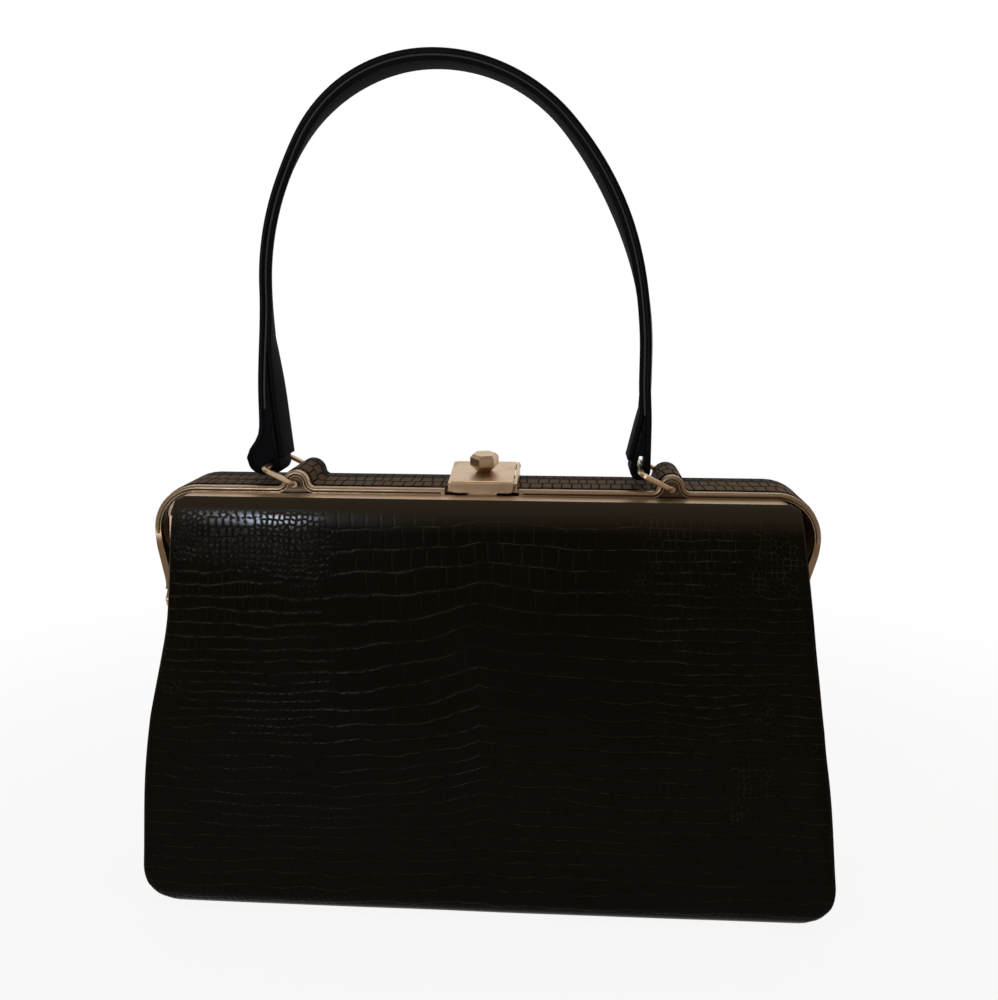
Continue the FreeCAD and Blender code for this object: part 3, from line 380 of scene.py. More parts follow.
def scale_field(surface, corner, look, belly_half_width):
    """Where the flanks and their round scales are, and the distances to the creases along and up the rows."""
    across, along = surface.parts()[:2]
    drift = surface.moved().noise(38.0, 3.0) - 0.5
    low = 1 - along.step(60 * MM, 130 * MM)
    column_place = across + (surface.noise(55.0) - 0.5) * (3.2 * MM)
    row_place = along + drift * (low * (6 * MM) + 6 * MM) + row_drop(across, along)
    rows = row_place / look.row_height + along.step(0.0, 105 * MM) * 4.5
    belly = scale_rows(column_place, rows, look.row_height, look.scale_width)
    flank = scale_rows(column_place, rows * 2, look.row_height / 2, look.flank_width)
    pebble_place = (column_place / look.round_scale).pair(row_place / look.round_scale)
    pebble = pebble_place.cell_edge("2D", 0.6) * look.round_scale
    wander = (surface.noise(30.0) - 0.5) * (45 * MM)
    flank_start = (belly_half_width - FLANK_FADE, belly_half_width + FLANK_FADE)
    on_flank = (across.math("ABSOLUTE") + wander).step(*flank_start)
    on_pebble = on_flank * (surface.moved().noise(24.0) + corner * 0.2).step(0.53, 0.66)
    split = on_flank * along.step(75 * MM, 85 * MM)
    to_row = on_pebble.blend(split.blend(belly[0], flank[0]), pebble)
    to_column = on_pebble.blend(on_flank.blend(belly[1], flank[1]), pebble)
    return on_flank, on_pebble, to_row, to_column


def embossed_leather(name, look, belly_half_width, plain_from, polish=0.0):
    """Leather with large scales in rows along the belly, small ones on the flanks, tan lines along the
    creases and a painted sheen on the rolled top.
    """
    material, shader, start = new_material(name)
    surface = start.surface()
    across, along = surface.parts()[:2]
    corner = along.step(*CORNER_RISE) * (1 - across.step(*CORNER_RIGHT))
    on_flank, on_pebble, to_row, to_column = scale_field(surface, corner, look, belly_half_width)
    to_edge = to_row.math("SMOOTH_MIN", to_column, 0.3 * MM)
    plain = along.step(plain_from, plain_from + 2 * MM)
    high = along.step(*UPPER_RISE)
    row_line = 1 - to_row.step(0.05 * MM, 0.26 * MM)
    column_line = (1 - to_column.step(0.03 * MM, 0.20 * MM)) * (high * 0.4 + on_pebble * 0.2 + 0.18)
    line = row_line.math("MAXIMUM", column_line) * (1 - plain)
    dashes = surface.noise(190.0).step(0.40, 0.58) * 0.85 + 0.15
    faint = surface.moved().noise(14.0).step(0.30, 0.62) * 0.6 + high * 0.5 + 0.25
    # Tan lines along the creases, broken into dashes and faded at random.
    traced = (line * dashes * faint * (1 - on_pebble * 0.45)).math("MINIMUM", 1.0)
    cloud = surface.noise(18.0)
    scales = cloud.mix(tint(look.colour), tint(look.colour, 1.6))
    # Painted sheen: near the top the scales turn to the lighter rolled-top colour, standing in for light
    # caught by the roll.
    scales = along.step(plain_from - 8 * MM, plain_from + 5 * MM).mix(scales, tint(look.rolled))
    link(traced.mix(scales, tint(look.crease)), shader, "Base Color")
    seam = (across.math("ABSOLUTE") + along * 0.1).step(*SEAM_START)
    link(line * 0.25 + cloud * 0.12 + seam * 0.5 + 0.17, shader, "Roughness")
    polished = corner * across.step(*CORNER_LEFT) * (1 - plain)
    link(polished * to_edge.step(0.25 * MM, 0.95 * MM) * polish, shader, "Coat Weight")
    shader.inputs["Coat Roughness"].default_value = 0.16
    shader.inputs["Specular IOR Level"].default_value = 0.022
    flat = along.step(*FLAT_RISE) * (1 - on_flank) * 0.8
    dome = flat.math("MAXIMUM", plain).blend(to_edge.step(0.0, 0.9 * MM), 1.0)
    grain = surface.noise(2600.0, 3.0)
    add_bump(shader, dome * 0.8 + grain * 0.04, strength=0.36, distance=0.4 * MM)
    return material


def cover_leather(name, look):
    """Leather over the frame: rows of short bricks with dark creases; its brown is partly the leather's tone
    and partly painted overhead light on the top, darker at the back, with painted shade down the arms.
    """
    material, shader, start = new_material(name)
    surface = start.surface()
    across, along = surface.parts()[:2]
    column_place = across + (surface.noise(120.0) - 0.5) * (1.6 * MM)
    rows = (along + (surface.noise(70.0) - 0.5) * (5 * MM) + 7 * MM) / look.cover_row
    to_row, to_column = scale_rows(column_place, rows, look.cover_row, look.cover_scale)
    line = (1 - to_row.step(0.3 * MM, 1.3 * MM)).math("MAXIMUM", 1 - to_column.step(0.15 * MM, 0.5 * MM))
    # Darker towards the back; down the arms, painted shade, where the overhead light falls less, turns the
    # cover to the black leather's colour.
    back = along.step(10 * MM, 16 * MM) * 0.75
    arm = 1 - start.place().parts()[2].step(155 * MM, 176 * MM)
    dark = line.math("MAXIMUM", back.math("MAXIMUM", arm))
    cloud = surface.noise(60.0)
    # Brown scales, partly painted overhead light on the top.
    scales = cloud.mix(tint(look.cover, 0.7), tint(look.cover, 1.3))
    link(dark.mix(scales, tint(look.colour)), shader, "Base Color")
    link(line * 0.2 + cloud * 0.15 + 0.4, shader, "Roughness")
    add_bump(shader, 1 - line, strength=0.35, distance=0.4 * MM)
    shader.inputs["Specular IOR Level"].default_value = 0.006
    return material


def glossy_leather(name, look):
    """Smooth black strap leather with a fine grain and a polish that varies, dull at the turned ends."""
    material, shader, start = new_material(name)
    place = start.place()
    cloud = place.noise(60.0)
    link(cloud.mix(tint(look.strap), tint(look.strap, 1.6)), shader, "Base Color")
    turned_end = 1 - place.parts()[2].step(BAR_Z + 2 * MM, BAR_Z + 14 * MM)
    link(cloud * 0.14 + turned_end * 0.5 + 0.24, shader, "Roughness")
    add_bump(shader, place.noise(1400.0, 4.0), strength=0.18, distance=0.2 * MM)
    shader.inputs["Specular IOR Level"].default_value = 0.07
    return material


# Other materials
def mottled(name, colours, scale, detail, smoothest, rougher):
    """A material between two colours that follows one noise; gives its shader and the noise too."""
    material, shader, start = new_material(name)
    fleck = start.place().noise(scale, detail)
    link(fleck.mix(*colours), shader, "Base Color")
    link(fleck * rougher + smoothest, shader, "Roughness")
    return material, shader, fleck


def dull_leather(name, look):
    """The strap's unpolished inner side."""
    colours = [tint(look.strap, factor) for factor in (2.2, 3.52)]
    material, shader, nap = mottled(name, colours, 700.0, 4.0, smoothest=0.6, rougher=0.2)
    add_bump(shader, nap, strength=0.2, distance=0.2 * MM)
    shader.inputs["Specular IOR Level"].default_value = 0.01
    return material


def strap_core(name, look):
    """The cut core that shows as a thin light line along the strap's edges."""
    colours = [tint(look.strap_edge, factor) for factor in (0.6, 1.0)]
    return mottled(name, colours, 900.0, 3.0, smoothest=0.45, rougher=0.2)[0]


def spring_steel(name):
    """Grey rolled steel."""
    colours = ((0.30, 0.31, 0.33, 1.0), (0.42, 0.43, 0.45, 1.0))
    material, shader = mottled(name, colours, 400.0, 3.0, smoothest=0.3, rougher=0.2)[:2]
    shader.inputs["Metallic"].default_value = 1.0
    return material


def pulp_board(name):
    """Grey-brown pressed board with flecks."""
    colours = ((0.20, 0.17, 0.13, 1.0), (0.32, 0.28, 0.23, 1.0))
    return mottled(name, colours, 700.0, 4.0, smoothest=0.8, rougher=0.1)[0]


def satin_gold(name, look, tone=1.0, bare_from=None, painted_shade_below=None):
    """Satin gold plate with a fine brush, cloudy tarnish and small pits.

    It is left bare and dull behind a depth, or painted dark, as shade, where the piece's own surface measure
    is below a value.
    """
    material, shader, start = new_material(name)
    place = start.place()
    cloud = place.noise(90.0, 4.0)
    brush = place.node("ShaderNodeMapping", {}, {"Vector": place, "Scale": (60.0, 900.0, 900.0)}).noise(3.0)
    pits = place.noise(1500.0).step(0.66, 0.76)
    tarnish = cloud.step(0.45, 0.75) * 0.55 + pits * 0.4
    colour = tarnish.mix(tint(look.colour, tone), tint(look.dull, tone))
    shader.inputs["Metallic"].default_value = 1.0
    if bare_from is not None:
        bare = place.parts()[1].step(bare_from, bare_from + 2 * MM)
        colour = bare.mix(colour, tint(look.bare))
        link(1 - bare * 0.9, shader, "Metallic")
    # Painted shade: below the value the colour turns to a darkened dull gold, standing in for the shade under
    # the bead.
    if painted_shade_below is not None:
        clear = start.surface().parts()[1].step(painted_shade_below - 0.5 * MM, painted_shade_below + 0.5 * MM)
        colour = clear.mix(tint(look.dull, tone * 0.3), colour)
    link(colour, shader, "Base Color")
    link(cloud * 0.14 + brush * 0.10 + 0.24, shader, "Roughness")
    add_bump(shader, brush - pits * 0.6, strength=0.12, distance=0.1 * MM)
    return material


def lining_cloth(name, look):
    """Plain woven cotton."""
    material, shader, start = new_material(name)
    surface = start.surface()
    warp, weft = [(part * (2 * math.pi / THREAD_PITCH)).math("SINE") for part in surface.parts()[:2]]
    weave = warp * weft * 0.5 + 0.5
    slub = surface.noise(260.0, 3.0)
    shade = weave * 0.5 + slub * 0.5
    link(shade.mix(tint(look.colour, 0.55), tint(look.colour)), shader, "Base Color")
    link(slub * 0.15 + 0.75, shader, "Roughness")
    add_bump(shader, weave, strength=0.4, distance=0.2 * MM)
    return material


# Modelling helpers
def activate(piece):
    bpy.ops.object.select_all(action="DESELECT")
    piece.select_set(True)
    bpy.context.view_layer.objects.active = piece


def new_grid(name, size, place):
    """A grid primitive whose points a function puts in place, with the surface's own measures as its map."""
    bpy.ops.mesh.primitive_grid_add(x_subdivisions=size[0], y_subdivisions=size[1], size=1, calc_uvs=True)
    piece = bpy.context.object
    piece.name = name
    mesh = piece.data
    mesh.name = name
    flat = np.zeros(len(mesh.vertices) * 3)
    mesh.vertices.foreach_get("co", flat)
    shares = flat.reshape(-1, 3) + 0.5
    points, surface = place(shares[:, 0], shares[:, 1])
    mesh.vertices.foreach_set("co", np.stack(points, 1).ravel())
    corners = np.zeros(len(mesh.loops), int)
    mesh.loops.foreach_get("vertex_index", corners)
    layer = mesh.uv_layers[0]
    layer.name = "surface"
    layer.data.foreach_set("uv", np.stack(surface, 1)[corners].ravel())
    mesh.update()
    return piece


def apply_modifier(piece, kind, **settings):
    modifier = piece.modifiers.new(kind.title(), kind)
    for name, value in settings.items():
        setattr(modifier, name, value)
    activate(piece)
    bpy.ops.object.modifier_apply(modifier=modifier.name)


def thicken(piece, thickness, edge):
    """Gives a sheet its wall, inwards, with softened edges."""
    apply_modifier(piece, "SOLIDIFY", thickness=thickness, offset=-1.0, use_even_offset=True)
    apply_modifier(piece, "BEVEL", width=edge, segments=2, limit_method="ANGLE",
                   angle_limit=math.radians(60))
    smooth(piece)


def smooth(piece):
    activate(piece)
    bpy.ops.object.shade_smooth_by_angle(angle=math.radians(50))


def edit(piece):
    activate(piece)
    bpy.ops.object.mode_set(mode="EDIT")
    bpy.ops.mesh.select_all(action="SELECT")


def face_outwards():
    """Turns the edited mesh's faces outwards and ends the editing."""
    bpy.ops.mesh.select_all(action="SELECT")
    bpy.ops.mesh.normals_make_consistent(inside=False)
    bpy.ops.object.mode_set(mode="OBJECT")


def close_tube(piece):
    """Joins a rolled-up grid along its seam and closes its ends."""
    edit(piece)
    bpy.ops.mesh.remove_doubles(threshold=0.001 * MM)
    bpy.ops.mesh.select_all(action="DESELECT")
    bpy.ops.mesh.select_non_manifold()
    bpy.ops.mesh.fill_holes(sides=0)
    face_outwards()
    smooth(piece)


def finish_piece(piece, material, nodes, body=None):
    """Gives a piece its material, the solids that it stands for and the body that it rides on."""
    piece.data.materials.clear()
    piece.data.materials.append(material)
    if nodes:
        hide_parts(*nodes)
    if body:
        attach(piece, body)


def dress(name, material):
    """Gives a construction solid its material."""
    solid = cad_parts[name]
    if not solid.material_slots:
        solid.data.materials.append(material)
    for slot in solid.material_slots:
        slot.material = material


def smooth_step(low, high, value):
    share = np.clip((value - low) / (high - low), 0, 1)
    return share * share * (3 - 2 * share)


def nearest(share, items):
    """Indices of the items at shares of a list's length."""
    return np.rint(share * (len(items) - 1)).astype(int)


def running_length(line):
    """Length of a line up to each of its points."""
    return np.concatenate([[0], np.cumsum(np.hypot(*np.diff(line, axis=0).T))])


def square_to(line):
    """Directions square to a line at its points."""
    along = np.gradient(line, axis=0)
    along /= np.hypot(*along.T)[:, None]
    return np.stack([-along[:, 1], along[:, 0]], 1)


def arc_points(middle, radius, start, end, count):
    turn = np.radians(np.linspace(start, end, count))
    return np.stack([middle[0] + radius * np.cos(turn), middle[1] + radius * np.sin(turn)], 1)


# Outlines of the leather body
def side_line(height):
    """Half the body's width, before its corners are rounded."""
    lower = HALF_BASE - SIDE_LEAN * height
    upper = HALF_WAIST - TOP_SLOPE * (height - WAIST_HEIGHT)
    return np.minimum(lower, upper)


def rounded_below(width, height):
    """The half width where the lower corner is rounded."""
    drop = np.clip(1 - height / CORNER_RADIUS, 0, 1)
    return width - CORNER_REACH * (1 - np.sqrt(1 - drop ** 2))


def rounded_above(width, height, top, radius):
    rise = np.clip((height - top + radius) / radius, 0, 1)
    return width - radius * (1 - np.sqrt(1 - rise ** 2))


def front_half_width(height):
    return rounded_above(rounded_below(side_line(height), height), height, FRONT_TOP, TOP_CORNER)


def rear_half_width(height):
    """The back widens at its shoulders to close the rear frame."""
    shoulder = smooth_step(*REAR_SHOULDER_RISE, height)
    width = side_line(height) * (1 - shoulder) + REAR_SHOULDER * shoulder
    return rounded_above(rounded_below(width, height), height, REAR_TOP, REAR_CORNER)


def lean_shift(height, shape):
    """The soft body's shift to the right, which ends below the hinges."""
    return shape.lean * np.clip(1 - height / LEAN_END, 0, 1)


def side_swell(height, side, shape):
    """How far a side stands out: both low down, the right one high up, the left one drawn in there."""
    drawn = shape.pinch * np.exp(-((height - PINCH_HEIGHT) / PINCH_SPREAD) ** 2) * (side < 0)
    out = shape.shoulder * smooth_step(*SHOULDER_RISE, height) * (side > 0)
    return shape.belly * np.exp(-((height - BELLY_HEIGHT) / BELLY_SPREAD) ** 2) + out - drawn


LEAN = math.atan(PANEL_LEAN)
EDGE_SWEEP = math.pi / 2 + LEAN
EDGE_LENGTH = EDGE_RADIUS * EDGE_SWEEP


def panel_profile(length):
    """Depth, height and outward direction along a panel, from the floor up."""
    turn = np.clip(length / EDGE_RADIUS, 0, EDGE_SWEEP)
    beyond = np.clip(length - EDGE_LENGTH, 0, None)
    depth = FLOOR_Y + EDGE_RADIUS * np.sin(turn) - beyond * math.sin(LEAN)
    height = EDGE_RADIUS * (1 - np.cos(turn)) + beyond * math.cos(LEAN)
    return depth, height, np.sin(turn), -np.cos(turn)


def panel_length(top):
    """Length of a panel's profile up to a height."""
    edge_top = EDGE_RADIUS * (1 - math.cos(EDGE_SWEEP))
    return EDGE_LENGTH + (top - edge_top) / math.cos(LEAN)


def seam_roll(height, shape):
    """Radius of the turned seam, small where the panel lies before the frame's arms."""
    low = shape.seam_roll
    return low + (SEAM_AT_ARMS - low) * smooth_step(*SEAM_RISE, height)


def drape(across, length, total, shape):
    """How far the leather stands out: a soft bulge low down, a roll under the frame, slow waves."""
    rise = length / total
    bulge = shape.sag * np.sin(np.pi * rise ** 0.8) ** 1.3 * (1 - np.clip(np.abs(across), 0, 1) ** 3)
    below_top = np.clip((total - length) / ROLL_DEPTH, 0, 1)
    roll = np.sqrt(np.clip(1 - (1 - below_top) ** 2, 0, 1))
    puff = shape.puff * roll * (1 - smooth_step(*PUFF_FADE, total - length))
    waves = 0.45 * MM * np.sin(7.3 * across + 4 * rise) * np.sin(5.1 * rise + 1.1)
    waves = waves + 0.3 * MM * np.sin(13.7 * across - 3 * rise + 0.7)
    return bulge + puff + waves * np.sin(np.pi * rise) * (1 - across ** 4)


def panel_place(half_width, top, facing, shape):
    """Puts a panel's grid in place: facing is -1 for the front and 1 for the back."""
    total = panel_length(top)

    def place(u, v):
        length = v * total
        share = 2 * u - 1
        depth, height, out_y, out_z = panel_profile(length)
        half = half_width(height) + side_swell(height, -facing * np.sign(share), shape)
        roll = seam_roll(height, shape)
        flat = half - roll
        reach = np.abs(share) * (flat + roll * math.pi / 2)
        turn = np.clip((reach - flat) / roll, 0, math.pi / 2)
        x = np.minimum(reach, flat) + roll * np.sin(turn)
        out = drape(share, length, total, shape) - roll * (1 - np.cos(turn))
        x = lean_shift(height, shape) - facing * x * np.sign(share)
        y = facing * (depth + out * out_y)
        z = np.maximum(height + out * out_z, ON_FLOOR)
        return (x, y, z), (reach * np.sign(share), length)
    return place


def gusset_reach(height, share, side, shape):
    """Distance of a side's outer face from the middle: pleated half way up, tucked between the arms above."""
    tuck = smooth_step(*TUCK_RISE, height)
    outer = rounded_below(side_line(height), height) - 0.8 * MM + side_swell(height, side, shape)
    pleat = shape.pleat * smooth_step(*PLEAT_RISE, height) * (1 - tuck)
    return outer + (TUCKED_X - outer) * tuck - pleat * (1 - share ** 2) ** 1.5


def gusset_place(side, shape):
    """Puts a side's grid in place: round the lower corner, up, and folded inwards between the arms."""
    def place(u, v):
        height = GUSSET_TOP * v ** 1.7
        share = 2 * u - 1
        turn = np.arccos(np.clip(1 - height / EDGE_RADIUS, -math.sin(LEAN), 1))
        low = FLOOR_Y + EDGE_RADIUS * np.sin(turn)
        depth = np.where(height < EDGE_RADIUS, low, HALF_DEPTH - PANEL_LEAN * height) - 0.9 * MM
        bulge = drape(TUCKED_X / REAR_SHOULDER, panel_length(height), panel_length(REAR_TOP), shape)
        edge = depth - 1.0 * MM + (bulge + 0.7 * MM) * smooth_step(*CLOSED_RISE, height)
        x = side * gusset_reach(height, share, side, shape) + lean_shift(height, shape)
        return (x, side * share * edge, np.maximum(height, ON_FLOOR)), (share * depth, height)
    return place


def bottom_place(shape):
    """Puts the bottom's grid in place, between the rounded lower corners."""
    half_x = float(rounded_below(side_line(np.zeros(1)), np.zeros(1))[0])

    def place(u, v):
        x = (2 * u - 1) * half_x
        y = (1 - 2 * v) * FLOOR_Y
        return (x + shape.lean, y, np.zeros(len(x))), (x, y)
    return place


# Linings
def pouch_place(shape):
    """Puts the pouch's grid in place: a rounded tube inside the sides, closed below, with a stepped top."""
    inset = 5.8 * MM
    floor = 4.4 * MM
    floor_rows = 0.2
    power = 0.28
    half_top = 122 * MM

    def place(u, v):
        turn = 2 * math.pi * u
        side = np.sign(np.cos(turn))
        facing = np.sign(np.sin(turn))
        back_top = smooth_step(0.15, 0.5, np.sin(turn))
        front_top = smooth_step(0.15, 0.5, -np.sin(turn))
        top = 108 * MM + 17 * MM * front_top + 58 * MM * back_top
        rise = np.clip((v - floor_rows) / (1 - floor_rows), 0, 1)
        height = floor + (top - floor) * rise
        share = np.abs(np.sin(turn)) ** power
        ripple = 0.5 * MM * np.abs(np.sin(23 * turn)) * smooth_step(0.2, 0.6, rise)
        y = (HALF_DEPTH - PANEL_LEAN * height - inset) * share - ripple
        half_x = gusset_reach(height, share, side, shape) - 3 * MM
        half_x = half_x + (half_top - half_x) * smooth_step(100 * MM, 112 * MM, height)
        x = side * half_x * np.abs(np.cos(turn)) ** power + lean_shift(height, shape)
        spread = np.clip(v / floor_rows, 0, 1)
        return (x * spread, y * facing * spread, height), (turn * 60 * MM, height + y * (1 - rise))
    return place


def front_lining_place(u, v):
    """Puts the front lining's grid in place behind the swinging leather, facing inwards."""
    half = 118 * MM
    low = 144 * MM
    x = (1 - 2 * u) * half
    height = low + 31 * MM * v
    y = -(HALF_DEPTH - PANEL_LEAN * height - 2.6 * MM)
    ripple = 0.25 * MM * np.sin(160 * x) * np.sin(math.pi * v)
    return (x, y + ripple, height), (x, height)


# Rear frame's line, from the end of the left arm to the end of the right one
def band_line(offset):
    """Points along the rear frame's line, moved outwards."""
    fillet_z = BAND_Z + ARCH_FILLET
    reach = ARCH_RADIUS + ARCH_FILLET
    lean = math.degrees(math.asin((fillet_z - TUBE_Z) / reach))
    foot = reach * math.cos(math.radians(lean))
    corner_x = FRAME_X - FRAME_CORNER - HALF_SHEET
    corner_z = BAND_Z - FRAME_CORNER
    bend_x = ARM_X + ARM_BEND_RADIUS
    run = math.hypot(bend_x - corner_x, ARM_FOOT_Z - corner_z)
    drop = math.atan2(corner_z - ARM_FOOT_Z, bend_x - corner_x)
    slope = math.degrees(drop - math.acos((FRAME_CORNER + ARM_BEND_RADIUS) / run))
    top = BAND_Z + offset
    right = np.concatenate([
        np.linspace((CLASP_OPENING_X, top), (TUBE_X - foot, top), 24),
        arc_points((TUBE_X - foot, fillet_z), ARCH_FILLET - offset, -90, -lean, 7)[1:],
        arc_points((TUBE_X, TUBE_Z), ARCH_RADIUS + offset, 180 - lean, lean, 15)[1:],
        arc_points((TUBE_X + foot, fillet_z), ARCH_FILLET - offset, 180 + lean, 270, 7)[1:],
        np.linspace((TUBE_X + foot, top), (corner_x, top), 14)[1:],
        arc_points((corner_x, corner_z), FRAME_CORNER + offset, 90, -slope, 13)[1:],
        arc_points((bend_x, ARM_FOOT_Z), ARM_BEND_RADIUS - offset, 180 - slope, 180, 6),
    ])
    left = right[::-1] * (-1, 1)
    middle = np.linspace((-CLASP_OPENING_X, top), (CLASP_OPENING_X, top), 11)[1:-1]
    return np.concatenate([left, middle, right])


def arm_edge(start_y, start_z, side):
    """Touching point on the hinge lobe of an arm's edge that leaves from a point above."""
    away = np.array((start_y - HINGE_Y, start_z - HINGE_Z))
    angle = math.atan2(away[1], away[0]) + side * math.acos(LOBE_RADIUS / np.hypot(*away))
    return HINGE_Y + LOBE_RADIUS * math.cos(angle), HINGE_Z + LOBE_RADIUS * math.sin(angle)


def cover_place(line):
    """The cover's grid and its place along the band, drawn in towards the hinge on the arms."""
    run = running_length(line)
    run = run - run[-1] / 2
    front_y, front_z = arm_edge(RAIL_FRONT_Y, ARM_FRONT_TOP, 1)
    back_y, back_z = arm_edge(BAND_BACK_Y, ARM_BACK_TOP, -1)
    lanes = np.concatenate([np.linspace(RAIL_BACK_Y, CLASP_OPENING_Y, 14), [BAND_BACK_Y]])

    def place(u, v):
        index = nearest(u, line)
        x, z = line[index].T
        share = (lanes[nearest(v, lanes)] - RAIL_BACK_Y) / (BAND_BACK_Y - RAIL_BACK_Y)
        low = np.interp(z, (front_z, ARM_FRONT_TOP), (front_y + 3 * MM, RAIL_BACK_Y))
        high = np.interp(z, (back_z, ARM_BACK_TOP), (back_y, BAND_BACK_Y))
        high = np.maximum(high, low + 1 * MM)
        y = low + (high - low) * share
        return (x, y, z), (run[index], y)
    return (len(line) - 1, len(lanes) - 1), place


def bead_place(side):
    """The grid of the rail's rounded front and its place, from the clasp to the top of an arm."""
    line = band_line(0.0)
    line = line[(side * line[:, 0] > RAIL_GAP_X) & (line[:, 1] > BEAD_END_Z)]
    normals = square_to(line)

    def place(u, v):
        index = nearest(u, line)
        turn = 2 * math.pi * v
        out = (RAIL_HEIGHT / 2 + 0.05 * MM) * np.sin(turn)
        x, z = (line[index] + normals[index] * out[:, None]).T
        y = RAIL_FRONT_Y + 0.9 * MM - 1.25 * MM * np.cos(turn)
        return (x, y, z), (index * MM, out)
    return (len(line) - 1, BEAD_SIDES), place


def tunnel_reach(turn):
    """Distance from a tube's axis to the edge of the rail's tunnel, below and beside the tube."""
    fillet_rise = BAND_Z + ARCH_FILLET - TUBE_Z
    fillet_away = ARCH_RADIUS + ARCH_FILLET
    fillet_x = math.sqrt(fillet_away ** 2 - fillet_rise ** 2)
    radius = ARCH_FILLET + RAIL_HEIGHT / 2
    towards = np.abs(np.cos(turn)) * fillet_x + np.sin(turn) * fillet_rise
    inside = towards ** 2 - fillet_away ** 2 + radius ** 2
    to_fillet = np.where(inside > 0, towards - np.sqrt(np.clip(inside, 0, None)), 1.0)
    floor = TUBE_Z - (BAND_Z - RAIL_HEIGHT / 2) - 0.05 * MM
    to_floor = np.where(np.sin(turn) < 0, floor / np.maximum(-np.sin(turn), 1e-6), 1.0)
    return np.minimum(to_fillet, to_floor)


def saddle_place(side):
    """Puts the sheet that closes a tunnel beside and below its tube in place."""
    def place(u, v):
        turn = np.radians(-186 + 192 * u)
        near = TUBE_RADIUS + 0.03 * MM
        reach = near + (np.maximum(tunnel_reach(turn), near + 0.02 * MM) - near) * (1 - v)
        x = side * TUBE_X + reach * np.cos(turn)
        z = TUBE_Z + reach * np.sin(turn)
        return (x, np.full(len(x), RAIL_FRONT_Y + 0.5 * MM), z), (x, z)
    return place


# The handle's line
def arch_line(depth):
    """Points and outward directions of the arch, from the left leg's top to the right's."""
    points = []
    normals = []
    for side in (-1, 1):
        leg = np.array((BAR_X[side] + side * (LOOP_INNER + PLY), ARCH_TOP[1] - ARCH_HEIGHT[side]))
        top = np.array(ARCH_TOP)
        width = abs(leg[0] - top[0])
        height = top[1] - leg[1]
        top_radius = width * TOP_RADIUS_SHARE[side]
        side_radius = (width ** 2 + height ** 2 - 2 * height * top_radius) / (2 * (width - top_radius))
        top_middle = top - (0, top_radius)
        side_middle = leg - (side * side_radius, 0)
        joint = math.degrees(math.atan2(*(top_middle - side_middle)[::-1]))
        out = 0 if side > 0 else 180
        lower = np.radians(np.linspace(out, joint, 26))
        upper = np.radians(np.linspace(joint, 90, 26))[1:]
        turns = np.concatenate([lower, upper])
        directions = np.stack([np.cos(turns), np.sin(turns)], 1)
        middles = np.concatenate([[side_middle] * len(lower), [top_middle] * len(upper)])
        radii = np.concatenate([[side_radius] * len(lower), [top_radius] * len(upper)])
        line = middles + directions * (radii - depth)[:, None]
        if side > 0:
            line = line[-2::-1]
            directions = directions[-2::-1]
        points.append(line)
        normals.append(directions)
    return np.concatenate(points), np.concatenate(normals)


def loop_direction(side, turn):
    return np.stack([side * np.cos(turn), -np.sin(turn)], -1)


def tab_direction(side):
    return np.array((side * math.sin(TAB_LEAN[side]), math.cos(TAB_LEAN[side])))


def end_line(side, radius, tab_length):
    """The loop round a ring's bar and the tab, from the tab's end to the outer side."""
    full = math.pi + TAB_LEAN[side]
    turns = np.linspace(full, 0, 22)
    loop = np.array((BAR_X[side], BAR_Z)) + radius * loop_direction(side, turns)
    tab = loop[0] + tab_direction(side) * np.linspace(tab_length, 0, 8)[:-1, None]
    directions = np.concatenate([[loop_direction(side, full)] * len(tab), loop_direction(side, turns)])
    return np.concatenate([tab, loop]), directions


def leg_line(side, depth, low):
    """A leg's straight run upwards from a height."""
    x = BAR_X[side] + side * (LOOP_INNER + PLY - depth)
    top = ARCH_TOP[1] - ARCH_HEIGHT[side]
    heights = np.linspace(low, top, 24)[1:-1]
    return np.stack([np.full(len(heights), x), heights], 1), np.tile((side, 0.0), (len(heights), 1))


def stand_off(side, height, shape):
    """How far an end's outer ply stands off its ring: only the left one does."""
    middle = BAR_Z + 3 * MM
    spread = 7 * MM
    return shape.bulge * np.exp(-((height - middle) / spread) ** 2) * (side < 0)


def joined(left, arch, right):
    """The left end, the arch and the right end as one line with its outward directions."""
    points = np.concatenate([left[0], arch[0], right[0][::-1]])
    normals = np.concatenate([left[1], arch[1], right[1][::-1]])
    return points, normals


def outer_line(shape):
    """Middle of the outer ply, from tab to tab, bulged out at its left end."""
    pieces = []
    for side in (-1, 1):
        end = end_line(side, LOOP_INNER + PLY / 2, TAB_LENGTH)
        leg = leg_line(side, PLY / 2, BAR_Z)
        points, normals = [np.concatenate(both) for both in zip(end, leg)]
        outside = smooth_step(-1 * MM, 2.5 * MM, side * (points[:, 0] - BAR_X[side]))
        points[:, 0] += side * stand_off(side, points[:, 1], shape) * outside
        pieces.append((points, normals))
    points = joined(pieces[0], arch_line(PLY / 2), pieces[1])[0]
    return points, square_to(points)


def filler_line(side, shape):
    """Middle, outward directions and thickness of the wedge between an end's outer ply and its tab."""
    slope = math.tan(TAB_LEAN[side])
    rises = np.linspace(FILLER_LOW[side], 5.6 * MM / slope, 24)
    heights = BAR_Z + rises
    outer = LOOP_INNER + stand_off(side, heights, shape)
    above_bar = smooth_step(1.4 * MM, 3 * MM, rises)
    inner = 1.5 * MM - 5.5 * MM * above_bar + rises * slope
    points = np.stack([BAR_X[side] + side * (outer + inner) / 2, heights], 1)
    return points, np.tile((side, 0.0), (len(heights), 1)), np.maximum(outer - inner, CORE_SPACE)


def core_line(depth):
    """Middle of the core, along both legs and the arch."""
    left, right = [leg_line(side, depth, BAR_Z + 22 * MM) for side in (-1, 1)]
    return joined(left, arch_line(depth), right)


